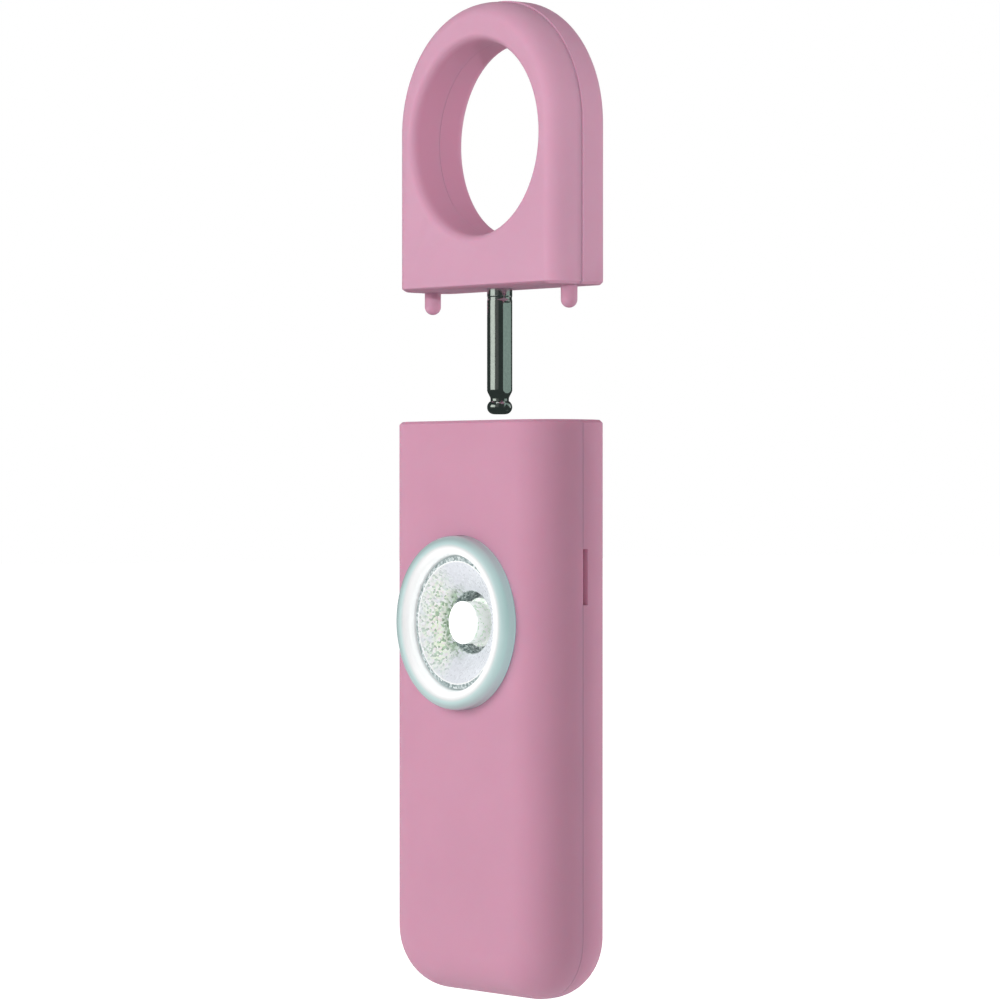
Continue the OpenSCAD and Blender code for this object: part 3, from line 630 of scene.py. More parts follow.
def opal_ring(name, colours):
    """Pale ring with painted light and shade: a white crest set towards the right, a teal grey
    painted shade on the outer slope, painted light on the slope's right, a painted glow on the crest
    and inner wall, and a painted highlight at the foot.
    """
    f = Finish(name)
    crest, slope = colours.ring_crest, colours.ring_slope_shade
    place = f.from_centre(LIGHT)
    radius, height = f.radius(place), f.ahead(place)
    # Painted light: the white crest is centred off the axis, towards the right side that the light
    # falls on
    painted_light_lean = f.radius(f.from_centre(LIGHT + Vector((0.5 * MM, 0, 0))))
    across = f.within(painted_light_lean, RING_INNER - 0.1, RING_INNER + 2.2)
    # Painted light and shade: white on the crest fading to the teal grey shade of the outer slope
    body = f.ramp(
        across, (0.30, crest), (0.46, shade(crest, 0.92)), (0.62, shade(slope, 1.25)),
        (0.82, shade(slope, 0.98)), (1.0, shade(slope, 1.04)),
    )
    # Painted light: a lighter teal and a teal glow on the right of the outer slope
    right_painted_light = f.times(f.span(across, 0.45, 0.8), f.within(f.aside(place), 3, 9))
    body = f.mix(right_painted_light, body, shade(slope, 1.15))
    # Painted highlight: a bright line at the ring's foot
    foot = f.within(height, 0.24, 0.12)
    # Painted glow on the inner wall, though the ring is no lamp
    inside = f.within(radius, RING_INNER + 0.2, RING_INNER - 0.05)
    wall = f.times(inside, f.within(height, 0.3, 0.6))
    # Painted glow on the crest
    crest_painted_glow = f.span(across, 0.52, 0.30, 0.0, 0.24)
    haze = f.noise(0.6, 3)
    return f.made(
        haze, 0.01, 0.4, Base_Color=f.mix(foot, body, shade(slope, 1.3)),
        Roughness=f.vary(haze, 0.16, 0.24), Coat_Weight=0.35, Coat_Roughness=0.08,
        Emission_Color=f.mix(right_painted_light, (1.0, 1.0, 1.0), (0.45, 1.0, 0.92)),
        Emission_Strength=f.most(
            f.times(wall, 0.5), crest_painted_glow, f.times(foot, 0.08), f.times(right_painted_light, 0.17)
        ),
    )


def pebbled_dish(name, colours):
    """Silvered reflector: stippled land with painted shade, a painted white highlight on the lip,
    pebbled cone with painted green reflections of the lamp, painted shade in the well and a faint
    painted glow of the lamp's light.
    """
    f = Finish(name)
    pale, painted_reflection_green, white = colours.dish_pale, colours.dish_painted_reflection, (0.96, 0.97, 0.97)
    place = f.from_centre(LIGHT)
    radius, side = f.radius(place), f.aside(place)
    pebble, chance = f.cells(0.36, place=place), f.chance(0.26, place)
    grain = f.mottled(pale, f.span(pebble, 0.1, 0.6), 0.95, 1.04)
    # Painted reflection: green and white glints of the lamp's light
    glint = f.ramp(
        chance, (0.10, shade(painted_reflection_green, 0.66)), (0.30, painted_reflection_green), (0.46, (0.88, 0.80, 0.80)),
        (0.62, (1, 1, 1)), (0.88, (0.80, 0.91, 0.68)),
    )
    # The painted glints are strewn over the left of the cone, near the lamp
    left = f.within(side, -2.0, -4.2)
    near = f.within(radius, DISH_RIM - 0.1, DISH_WELL + 1.5, 0.45, 1.0)
    drift = f.span(f.noise(1.5, 2, place), 0.24, 0.46)
    sprinkled = f.mix(f.times(left, near, drift), grain, glint)
    # Painted reflection: a dark green band beside the lamp on the left
    by_well = f.within(radius, DISH_WELL + 1.2, DISH_WELL + 0.6)
    collar = f.times(by_well, f.within(side, -0.6, -2.6, 0.0, 0.8))
    collar_painted_reflection = f.ramp(
        chance, (0.15, shade(painted_reflection_green, 0.40)), (0.55, shade(painted_reflection_green, 0.85)), (0.9, shade(pale, 0.9))
    )
    # Painted shade in the well
    dark = f.ramp(
        chance, (0.15, (0.14, 0.19, 0.19)), (0.6, (0.36, 0.42, 0.42)), (0.9, (0.72, 0.78, 0.78))
    )
    # Stipple with painted shade on the land in the groove between the rim and the ring
    land = f.ramp(
        chance, (0.10, (0.24, 0.31, 0.31)), (0.5, (0.40, 0.48, 0.48)), (0.9, (0.74, 0.80, 0.80))
    )
    well = f.within(radius, DISH_WELL + 0.12, DISH_WELL + 0.02)
    lip = f.within(radius, DISH_RIM - 0.10, DISH_RIM - 0.04)
    outside = f.within(radius, DISH_RIM + 0.07, DISH_RIM + 0.11)
    # Painted highlight: white along the lip
    inside = f.mix(lip, f.mix(well, f.mix(collar, sprinkled, collar_painted_reflection), dark), white)
    # Painted light of the lamp: a faint glow on the dish, kept off the well and the land
    painted_lamp_light = f.maths("SUBTRACT", 1.0, f.most(well, outside))
    return f.made(
        pebble, 0.06, 0.6, Base_Color=f.mix(outside, inside, land),
        Metallic=f.span(well, 0.0, 1.0, 0.10, 0.02), Roughness=f.span(chance, 0.0, 1.0, 0.24, 0.42),
        Emission_Color=(0.95, 0.97, 1.0),
        Emission_Strength=f.times(painted_lamp_light, f.within(f.ahead(place), -1.9, 0.2), 0.10),
    )


def lit_lamp(name, rgb):
    """Lit lamp: bright dome, and frosted sides that pass a little of its light."""
    f = Finish(name)
    place = f.from_centre(LIGHT)
    front = f.within(f.ahead(place), -0.75, -0.35)
    sides = f.ramp(
        f.chance(0.28, place), (0.1, (0.50, 0.66, 0.50)), (0.5, (0.86, 0.92, 0.86)),
        (0.9, (0.97, 0.98, 0.96)),
    )
    return f.made(
        f.noise(0.2), 0.02, 0.4, Base_Color=f.mix(front, sides, shade(rgb, 0.95)), Roughness=0.2,
        Emission_Color=rgb, Emission_Strength=f.span(front, 0.0, 1.0, 0.30, 1.1),
        Coat_Weight=0.3, Coat_Roughness=0.05,
    )


def moulding(name, rgb, grain, smoothest=0.38, roughest=0.55):
    """Plain engineering plastic with flow marks and a fine eroded grain."""
    f = Finish(name)
    flow, fine = f.vary(f.noise(2.2, 3)), f.noise(grain / MM)
    return f.made(
        fine, 0.01, 0.6, Base_Color=f.mottled(rgb, flow, 0.88, 1.1),
        Roughness=f.vary(fine, smoothest, roughest), Specular_IOR_Level=0.4,
    )


def rolled_metal(name, rgb, stretch):
    """Plated sheet or wire with fine lines along one axis and faint stains."""
    f = Finish(name)
    lines = f.noise(0.07, 3, f.stretched(stretch))
    stain = f.span(f.noise(1.4, 3), 0.35, 0.7)
    return f.made(
        lines, 0.004, 0.6, Base_Color=f.mottled(rgb, stain, 1.0, 0.8), Metallic=1.0,
        Roughness=f.vary(lines, 0.2, 0.36),
    )


def spun_metal(name, rgb, centre, inner, outer, band_rgb):
    """Metal with concentric lines round an axis along Y, and a band of another stuff."""
    f = Finish(name)
    soft = 0.02
    radius = f.radius(f.from_centre(centre))
    lines = f.add(
        "TexNoise", settings={"noise_dimensions": "1D"}, W=radius, Scale=1 / (0.06 * MM), Detail=3
    )
    stain = f.span(f.noise(1.8, 3), 0.35, 0.7)
    band = f.times(f.within(radius, inner - soft, inner), f.within(radius, outer + soft, outer))
    return f.made(
        lines, 0.004, 0.6, Base_Color=f.mix(band, f.mottled(rgb, stain, 1.0, 0.82), band_rgb),
        Metallic=f.maths("SUBTRACT", 1.0, band), Roughness=f.vary(lines, 0.18, 0.34),
    )


def solder_mask(name, rgb, pads):
    """Lacquered board: traces under the lacquer, tinned rings round the screws, grey lamp pad."""
    f = Finish(name)
    upright = f.add(
        "Mapping", Vector=f.flat(f.from_centre(middle("main_board"))),
        Rotation=(math.radians(90), 0, 0),
    )
    runs = f.add(
        "TexBrick", "Fac", Vector=upright, Scale=1.0, Mortar_Size=0.22 * MM,
        Brick_Width=3.1 * MM, Row_Height=1.3 * MM,
    )
    weave = f.noise(0.25)
    green = f.mix(f.vary(weave), f.mottled(rgb, runs, 1.0, 2.1), shade(rgb, 0.7))
    ring = f.most(*(f.within(f.radius(f.from_centre(spot)), 1.95, 1.85) for spot in pads))
    grey = f.ramp(
        f.chance(0.26), (0.15, (0.15, 0.18, 0.18)), (0.6, (0.36, 0.41, 0.41)),
        (0.9, (0.72, 0.77, 0.77)),
    )
    pad = f.within(f.radius(f.from_centre(LIGHT)), 4.5, 4.4)
    return f.made(
        f.maths("ADD", runs, weave), 0.012, 0.6,
        Base_Color=f.mix(pad, f.mix(ring, green, (0.62, 0.60, 0.56)), grey), Metallic=ring,
        Roughness=f.vary(weave, 0.22, 0.36), Coat_Weight=0.3,
    )


def foam_rubber(name, rgb):
    """Soft rubber with small closed pores."""
    f = Finish(name)
    pores = f.cells(0.22)
    return f.made(
        pores, 0.05, 0.8, Base_Color=f.mottled(rgb, f.span(pores, 0.1, 0.5), 0.5, 1.25),
        Roughness=f.span(pores, 0.0, 0.6, 0.95, 0.75), Specular_IOR_Level=0.25,
    )


def wire_sleeve(name):
    """Sleeves of the two leads: red on the right, black on the left."""
    f = Finish(name)
    right, skin = f.within(f.aside(f.place), -0.1, 0.1), f.noise(0.15)
    return f.made(
        skin, 0.008, 0.5, Base_Color=f.mix(right, (0.018, 0.018, 0.02), (0.50, 0.02, 0.018)),
        Roughness=f.vary(skin, 0.36, 0.5),
    )


def enamel_wire(name, rgb):
    """Copper wire under clear enamel."""
    f = Finish(name)
    worn = f.noise(0.4, 3)
    return f.made(
        worn, 0.006, 0.5, Base_Color=f.mottled(rgb, f.vary(worn), 1.0, 0.75), Metallic=0.9,
        Roughness=f.vary(worn, 0.25, 0.38), Coat_Weight=0.7, Coat_Roughness=0.12,
    )


def fired_ceramic(name, rgb):
    """Fired ceramic with a fine speckle."""
    f = Finish(name)
    speck = f.cells(0.09)
    return f.made(
        speck, 0.006, 0.6, Base_Color=f.mottled(rgb, f.span(speck, 0.1, 0.6), 0.85, 1.12),
        Roughness=f.span(speck, 0.0, 0.6, 0.35, 0.5),
    )


def net_thread(name, rgb):
    """Dark plastic thread of the dust net."""
    f = Finish(name)
    twist = f.noise(0.08, 3)
    return f.made(
        twist, 0.008, 0.6, Base_Color=f.mottled(rgb, f.vary(twist), 0.7, 1.8),
        Roughness=f.vary(twist, 0.5, 0.7),
    )


# Operators


class AlarmStep(Operator):
    """One step of the alarm's making."""

    bl_options = {"REGISTER", "UNDO"}

    def execute(self, context):
        looks = context.scene.alarm_looks
        self.make(looks.colours, looks.detail)
        return {"FINISHED"}


class ALARM_OT_shells(AlarmStep):
    """Front and rear shell of the case, with rounded seams"""

    bl_idname = "alarm.shells"
    bl_label = "Case shells"

    def make(self, colours, detail):
        pink = satin_plastic("case_satin", colours.case_pink, detail.grain_size)
        round_light = 11 * MM
        for node, name, body in (
            ("front_shell", "shell_front", "alarm_body"),
            ("rear_shell", "shell_rear", "rear_cover"),
        ):
            shell = softened(node, name, detail.seam_round, round_light)
            dress(shell, pink, body, "pink_plastic", node)


class ALARM_OT_loop(AlarmStep):
    """Both halves of the key loop"""

    bl_idname = "alarm.loop"
    bl_label = "Key loop"

    def make(self, colours, detail):
        pink = satin_plastic(
            "loop_satin", colours.loop_pink, detail.grain_size, colours.hole_painted_shade
        )
        for node, name in (("loop_front", "loop_half_front"), ("loop_rear", "loop_half_rear")):
            half = softened(node, name, detail.seam_round)
            dress(half, pink, "pull_loop", "loop_plastic", node)


class ALARM_OT_pin(AlarmStep):
    """Turned steel pin with its crimp, milled flat, neck and bead"""

    bl_idname = "alarm.pin"
    bl_label = "Pull pin"

    def make(self, colours, detail):
        low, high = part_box("pull_pin")
        tip, head_top = low.z / MM, high.z / MM
        head, head_low = depth_of("pull_pin") / 2, head_top - 1.5
        shaft, neck, bead, face = 1.5, 1.1, 0.85, 0.65
        neck_low, cone_low, cone_top = tip + 1.72, tip + 1.95, tip + 2.75
        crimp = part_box("loop_rear")[0].z / MM - 1.15
        groove = [(shaft, 0.36), (shaft, 0.28), (shaft - detail.crimp_depth / MM, 0.1, 0.08)]
        corners = (
            [(AXIS, tip), (face, tip)]
            + arc(face, tip + bead, bead, -75, 58, 14)
            + [(neck, neck_low, 0.1), (neck, cone_low, 0.12)]
            + [(shaft, cone_top, 0.16), (shaft, cone_top + 0.25)]
            + [(r, crimp - h, *setback) for r, h, *setback in groove]
            + [(r, crimp + h, *setback) for r, h, *setback in reversed(groove)]
            + [(shaft, head_low), (head, head_low, 0.1), (head, head_top, 0.15), (AXIS, head_top)]
        )
        pin = turned("steel_pin", corners, detail.turned_steps)
        self.mill_flat(pin, (shaft - 0.12) * MM, (tip - 1) * MM, (crimp - 0.2) * MM)
        smooth(pin, 30)
        steel = polished_steel("pin_polish", colours.pin_steel)
        dress(pin, steel, "pull_loop", "pin_steel", "pull_pin")

    def mill_flat(self, pin, reach, low, high):
        """Cuts the flat on the pin's right side with a block whose upper end is rounded."""
        deep, wide, halfway = 2 * MM, 4 * MM, (low + high) / 2
        near, rounding = 1e-7, 0.5 * MM
        fresh()
        bpy.ops.mesh.primitive_cube_add(size=1, location=(reach + deep / 2, 0, halfway))
        cutter = named("flat_cutter")
        cutter.scale = (deep, wide, high - low)
        bpy.ops.object.transform_apply(location=True, scale=True)
        edit(cutter)
        bpy.ops.mesh.select_all(action="DESELECT")
        mesh = bmesh.from_edit_mesh(cutter.data)
        for edge in mesh.edges:
            points = [v.co for v in edge.verts]
            edge.select = all(abs(p.x - reach) < near and p.z > halfway for p in points)
        bmesh.update_edit_mesh(cutter.data)
        bpy.ops.mesh.select_mode(type="EDGE")
        bpy.ops.mesh.bevel(offset=rounding, segments=6, affect="EDGES")
        done()
        cut_away(pin, cutter)


class ALARM_OT_ring(AlarmStep):
    """Ring round the light, with a half-round crest and a flange behind the wall"""

    bl_idname = "alarm.ring"
    bl_label = "Light ring"

    def make(self, colours, detail):
        back, proud = before_case("light_ring")
        flange, lip = radius_of("light_ring"), 0.8
        outer = flange - 0.64
        rim = (outer - RING_INNER) / 2
        corners = (
            [(RING_INNER, back, 0.1)]
            + arc(RING_INNER + rim, proud - rim, rim, 180, 0, 28)
            + [(outer, back + lip), (flange, back + lip, 0.1), (flange, back, 0.1)]
        )
        ring = turned("lens_ring", corners, detail.turned_steps, ring=True)
        stand(ring, LIGHT, TO_FRONT, 35)
        dress(ring, opal_ring("ring_opal", colours), "alarm_body", "opal_plastic", "light_ring")


class ALARM_OT_reflector(AlarmStep):
    """Pebbled dish inside the ring, with a thin lip and the well that the lamp stands in"""

    bl_idname = "alarm.reflector"
    bl_label = "Reflector"

    def make(self, colours, detail):
        back, lip = before_case("reflector")
        skirt, rim, well = radius_of("reflector"), DISH_RIM, DISH_WELL
        outer, deep, shelf, wall = skirt - 1.0, -1.8, -2.3, 0.8
        thin, land, rows, side_rows = 0.08, lip - 0.14, 24, 8
        shares = [k / rows for k in range(1, rows)]
        cone = [(rim + (well - rim) * t, lip + (deep - lip) * t) for t in shares]
        sides = [(well, deep + (back - deep) * k / side_rows) for k in range(1, side_rows)]
        corners = (
            [(skirt, back), (skirt, shelf, 0.1), (outer, shelf), (outer, land, 0.05)]
            + [(rim + thin, lip - 0.03), (rim + thin, lip, 0.03), (rim, lip, 0.04)]
            + cone + [(well, deep, 0.05)] + sides + [(well, back)]
            + [(well + wall, back), (well + wall, deep - wall), (rim - wall, -wall)]
            + [(outer - wall, -wall), (outer - wall, back)]
        )
        dish = turned("reflector_dish", corners, 2 * detail.turned_steps, ring=True)
        group = dish.vertex_groups.new(name="pebbled")
        front = [v.index for v in dish.data.vertices if self.on_cone(v.co, rim, well, lip, deep)]
        group.add(front, 1.0, "REPLACE")
        pebbles = bpy.data.textures.new("dish_pebbles", "VORONOI")
        pebbles.noise_scale = detail.pebble_size
        modify(
            dish, "DISPLACE", texture=pebbles, texture_coords="LOCAL",
            strength=detail.pebble_height, mid_level=0.5, vertex_group="pebbled",
        )
        stand(dish, LIGHT, TO_FRONT, 50)
        silver = pebbled_dish("dish_silver", colours)
        dress(dish, silver, "alarm_body", "dish_plastic", "reflector")

    @staticmethod
    def on_cone(point, rim, well, lip, deep):
        """True on the dish's front cone, away from its two edges."""
        margin, near = 0.03, 0.02
        radius, height = point.xy.length / MM, point.z / MM
        share = (rim - radius) / (rim - well)
        return margin < share < 1 - margin and abs(height - (lip + (deep - lip) * share)) < near


class ALARM_OT_lamp(AlarmStep):
    """Lamp with a broad foot and a low dome"""

    bl_idname = "alarm.lamp"
    bl_label = "Lamp"

    def make(self, colours, detail):
        back, tip = before_case("lamp")
        foot, step, dome = radius_of("lamp"), back + 0.7, 0.65
        radius = foot - 0.4
        bow = (radius * radius + dome * dome) / (2 * dome)
        half = math.degrees(math.asin(radius / bow))
        corners = (
            [(0.05, back), (foot, back, 0.1), (foot, step, 0.1), (radius, step, 0.05)]
            + arc(0, tip - bow, bow, 90 - half, 89.5, 14)
        )
        lamp = turned("lamp_dome", corners, detail.turned_steps)
        stand(lamp, LIGHT, TO_FRONT, 35)
        dress(lamp, lit_lamp("lamp_lit", colours.lamp_white), "alarm_body", "lamp_resin", "lamp")


class ALARM_OT_guide(AlarmStep):
    """Bush that the pin slides in, and the wire that holds the pin behind its bead"""

    bl_idname = "alarm.guide"
    bl_label = "Pin guide and clip"

    def make(self, colours, detail):
        bush = softened("pin_guide", "guide_bush", detail.small_round)
        nylon = moulding("guide_nylon", colours.nylon, detail.grain_size)
        dress(bush, nylon, "alarm_body", "guide_plastic", "pin_guide")
        wire = softened("pin_clip", "clip_wire", detail.small_round / 2)
        spring = rolled_metal("clip_spring", colours.bright_metal, LINES_ACROSS)
        dress(wire, spring, "alarm_body", "spring_wire", "pin_clip")


class ALARM_OT_board(AlarmStep):
    """Circuit board with its tinned pads, and the solder round the sounder's leads"""

    bl_idname = "alarm.board"
    bl_label = "Circuit board"

    def make(self, colours, detail):
        board = softened("main_board", "circuit_board", detail.small_round)
        lacquer = solder_mask("board_lacquer", colours.board_green, screw_places())
        dress(board, lacquer, "alarm_body", "board_laminate", "main_board")
        high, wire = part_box("buzzer_leads")[1], 0.3
        x, z = high.x - wire * MM, high.z - wire * MM
        cone = [(wire, 0), (0.75, 0), (0.56, 0.10), (0.42, 0.25), (0.34, 0.50), (wire, 0.52)]
        right = turned("lead_solder_right", cone, 32, ring=True)
        tin = rolled_metal("solder_tin", colours.bright_metal, NO_LINES)
        for solder, side in zip(repeated(right, "lead_solder_left"), (1, -1)):
            stand(solder, (side * x, BOARD_BACK, z), TO_BACK, 40)
            dress(solder, tin, "alarm_body", "contact_strip")


class ALARM_OT_screws(AlarmStep):
    """Board screws: one turned with its thread and cross slot, then copied"""

    bl_idname = "alarm.screws"
    bl_label = "Board screws"

    def make(self, colours, detail):
        root, crest, reach, pitch, turns, tall = 0.60, 0.79, 3.2, 0.4, 7, 1.0
        ridge = [(root, 0), (root, 0.12), (crest, 0.2), (crest, 0.25), (root, 0.33)]
        thread = [(r, 0.2 - reach + pitch * k + h) for k in range(turns) for r, h in ridge]
        corners = (
            [(AXIS, -reach), (0.42, -reach, 0.1)] + thread
            + [(root, -0.02), (SCREW_HEAD - 0.04, 0, 0.04), (SCREW_HEAD, 0.55 * tall, 0.25)]
            + [(0.9, 0.98 * tall, 0.2), (AXIS, tall)]
        )
        screw = turned("board_screw_1", corners, 48, curve=4)
        slot_low, slot_high = Vector((-0.9, -0.2, 0.5)) * MM, Vector((0.9, 0.2, 1.5)) * MM
        for turn in (0, 90):
            slot = block("slot_cutter", slot_low, slot_high, 0.04 * MM)
            stand(slot, (0, 0, 0), (0, 0, turn))
            cut_away(screw, slot)
        steel = rolled_metal("screw_zinc", colours.bright_metal, NO_LINES)
        places = screw_places()
        names = [f"board_screw_{k}" for k in range(2, len(places) + 1)]
        for piece, place in zip(repeated(screw, *names), places):
            stand(piece, place, TO_BACK, 35)
            dress(piece, steel, "alarm_body", "screw_steel", "board_screws")


class ALARM_OT_switch(AlarmStep):
    """Switch under the guide with its terminals, and the plunger that the pin holds down"""

    bl_idname = "alarm.switch"
    bl_label = "Switch and plunger"

    def make(self, colours, detail):
        case = softened("switch_housing", "switch_case", detail.small_round)
        black = moulding("switch_black", colours.black, detail.grain_size)
        dress(case, black, "alarm_body", "black_plastic", "switch_housing")
        low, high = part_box("switch_housing")
        leg_y, leg_z = BOARD_BACK + 0.49 * MM, low.z + 1.4 * MM
        right = bent_leg("switch_leg_right", 0.5, [(0.12, 0), (0.14, -0.42), (0.3, 0)])
        tin = rolled_metal("terminal_tin", colours.bright_metal, LINES_ACROSS)
        for leg, side in zip(repeated(right, "switch_leg_left"), (1, -1)):
            stand(leg, (side * high.x, leg_y, leg_z), TO_RIGHT if side > 0 else TO_LEFT, 30)
            dress(leg, tin, "alarm_body", "contact_strip")

        low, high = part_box("switch_plunger")
        foot, top, collar = low.z / MM, high.z / MM, high.x / MM
        stem, flange = collar - 0.2, foot + 0.6
        corners = [
            (AXIS, foot), (collar, foot, 0.06), (collar, flange, 0.06), (stem, flange),
            (stem, top - 0.3), (stem - 0.05, top - 0.18, 0.08), (stem - 0.35, top - 0.03, 0.15),
            (AXIS, top),
        ]
        plunger = turned("plunger_stem", corners, 48)
        smooth(plunger, 35)
        red = moulding("plunger_red", colours.plunger_red, detail.grain_size)
        dress(plunger, red, "plunger", "plunger_plastic", "switch_plunger")


class ALARM_OT_sounder(AlarmStep):
    """Sounder: cup, lid, disc, leads, the gasket on it and the dust net behind the sound slots"""

    bl_idname = "alarm.sounder"
    bl_label = "Sounder"

    def make(self, colours, detail):
        black = moulding("sounder_black", colours.black, detail.grain_size)
        cup = softened("buzzer_case", "sounder_cup", detail.small_round)
        dress(cup, black, "alarm_body", "black_plastic", "buzzer_case")
        self.make_lid(black, detail.turned_steps)
        self.make_disc(colours.brass, detail.turned_steps)
        leads = softened("buzzer_leads", "sounder_leads", detail.small_round / 2)
        dress(leads, wire_sleeve("lead_sleeve"), "alarm_body", "lead_wire", "buzzer_leads")
        self.make_gasket(colours.black, detail.turned_steps)
        self.weave_net(colours.black)

    def on_axis(self, y):
        """Place on the sounder's axis."""
        axis = middle("buzzer_lid")
        return axis.x, y, axis.z

    def make_lid(self, black, steps):
        """Lid with its sound hole, a groove round it and a spigot that fits into the cup."""
        outer, lid, hole, wall = radius_of("buzzer_lid"), 0.6, 2.2, 0.8
        spigot, foot = outer - 0.9, lid - depth_of("buzzer_lid")
        groove, floor = 5.9, lid - 0.15
        corners = [
            (hole, 0), (hole, lid, 0.12), (groove - 0.3, lid), (groove - 0.2, floor, 0.04),
            (groove + 0.2, floor, 0.04), (groove + 0.3, lid), (outer, lid, 0.15), (outer, 0, 0.05),
            (spigot, 0), (spigot, foot, 0.08), (spigot - wall, foot, 0.08), (spigot - wall, 0),
        ]
        cover = turned("sounder_lid", corners, steps, ring=True)
        stand(cover, self.on_axis(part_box("buzzer_lid")[1].y - lid * MM), TO_BACK, 35)
        dress(cover, black, "alarm_body", "black_plastic", "buzzer_lid")

    def make_disc(self, rgb, steps):
        """Brass plate with the smaller ceramic disc on it."""
        plate, total = radius_of("piezo_disc"), depth_of("piezo_disc")
        inner, thick, ceramic = 6.5, 0.35, (0.62, 0.60, 0.55)
        corners = [
            (AXIS, 0), (plate, 0, 0.03), (plate, thick, 0.03), (inner + 0.05, thick),
            (inner, thick + 0.03), (inner - 0.05, total, 0.03), (AXIS, total),
        ]
        disc = turned("sounder_disc", corners, steps)
        stand(disc, self.on_axis(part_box("piezo_disc")[0].y), TO_BACK, 35)
        brass = spun_metal("disc_brass", rgb, middle("buzzer_lid"), 0.0, inner, ceramic)
        dress(disc, brass, "alarm_body", "disc_brass", "piezo_disc")

    def make_gasket(self, rgb, steps):
        """Foam ring with a shallow nick halfway up both walls."""
        outer, tall = radius_of("buzzer_gasket"), depth_of("buzzer_gasket")
        inner, half, nick, reach, soft = outer - 1.6, tall / 2, 0.12, 0.2, 0.2
        corners = [
            (inner, 0, soft), (outer, 0, soft), (outer, half - reach), (outer - nick, half, 0.1),
            (outer, half + reach), (outer, tall, soft), (inner, tall, soft), (inner, half + reach),
            (inner + nick, half, 0.1), (inner, half - reach),
        ]
        gasket = turned("sounder_gasket", corners, steps, ring=True)
        stand(gasket, self.on_axis(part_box("buzzer_gasket")[0].y), TO_BACK, 40)
        rubber = foam_rubber("gasket_foam", rgb)
        dress(gasket, rubber, "rear_cover", "gasket_rubber", "buzzer_gasket")

    def weave_net(self, rgb):
        """Round net with a hem: a grid trimmed to a disc, waved like woven thread and thickened."""
        radius, threads, thread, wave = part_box("sound_mesh")[1].x, 32, 0.13 * MM, 0.04 * MM
        trim, pitch = radius - 0.35 * MM, 2 * radius / threads
        fresh()
        bpy.ops.mesh.primitive_grid_add(
            x_subdivisions=threads, y_subdivisions=threads, size=2 * radius
        )
        net = named("dust_net")
        edit(net)
        bpy.ops.mesh.select_all(action="DESELECT")
        weave = bmesh.from_edit_mesh(net.data)
        for vertex in weave.verts:
            vertex.select = vertex.co.xy.length > trim
        weave.select_flush_mode()
        bmesh.update_edit_mesh(net.data)
        bpy.ops.mesh.delete(type="VERT")
        weave = bmesh.from_edit_mesh(net.data)
        for vertex in weave.verts:
            odd = (round(vertex.co.x / pitch) + round(vertex.co.y / pitch)) % 2
            vertex.co.z = wave if odd else -wave
        bmesh.update_edit_mesh(net.data)
        done()
        modify(net, "WIREFRAME", thickness=thread, use_boundary=True, use_even_offset=False)
        edge, half, soft = radius / MM, depth_of("sound_mesh") / 2, 0.08
        inner = edge - 0.7
        corners = [
            (inner, -half, soft), (edge, -half, soft), (edge, half, soft), (inner, half, soft)
        ]
        hem = turned("net_hem", corners, 64, ring=True)
        pick(net)
        hem.select_set(True)
        bpy.ops.object.join()
        stand(net, self.on_axis(middle("sound_mesh").y), TO_BACK, 40)
        dress(net, net_thread("net_nylon", rgb), "rear_cover", "mesh_cloth", "sound_mesh")


class ALARM_OT_cells(AlarmStep):
    """Two coin cells with their seals, and the spring strips in front of and behind them"""

    bl_idname = "alarm.cells"
    bl_label = "Cells and contacts"

    def make(self, colours, detail):
        for node, name in (("coin_cell_front", "cell_front"), ("coin_cell_rear", "cell_rear")):
            can, tall, cap, sunk = radius_of(node), depth_of(node), 8.9, 0.05
            seal_in, seal_out = cap + 0.03, cap + 0.3
            corners = [
                (AXIS, 0), (cap - 0.15, 0, 0.1), (cap, 0.2), (cap + 0.05, 0.30),
                (cap + 0.25, 0.30), (seal_out, 0.36), (can - 0.35, 0.35, 0.1), (can, 0.65, 0.2),
                (can, tall - 0.3, 0.25), (can - 0.25, tall), (can - 1.4, tall),
                (can - 1.5, tall - sunk), (AXIS, tall - sunk),
            ]
            cell = turned(name, corners, detail.turned_steps)
            centre = middle(node)
            stand(cell, (0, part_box(node)[0].y, centre.z), TO_BACK, 35)
            metal = spun_metal(
                name + "_can", colours.bright_metal, centre, seal_in, seal_out, colours.black
            )
            dress(cell, metal, "alarm_body", "cell_can", node)
        plated = rolled_metal("strip_plated", colours.contact_metal, LINES_UP)
        for node, name in (
            ("negative_contact", "strip_negative"), ("positive_contact", "strip_positive")
        ):
            strip = softened(node, name, detail.small_round)
            dress(strip, plated, "alarm_body", "contact_strip", node)


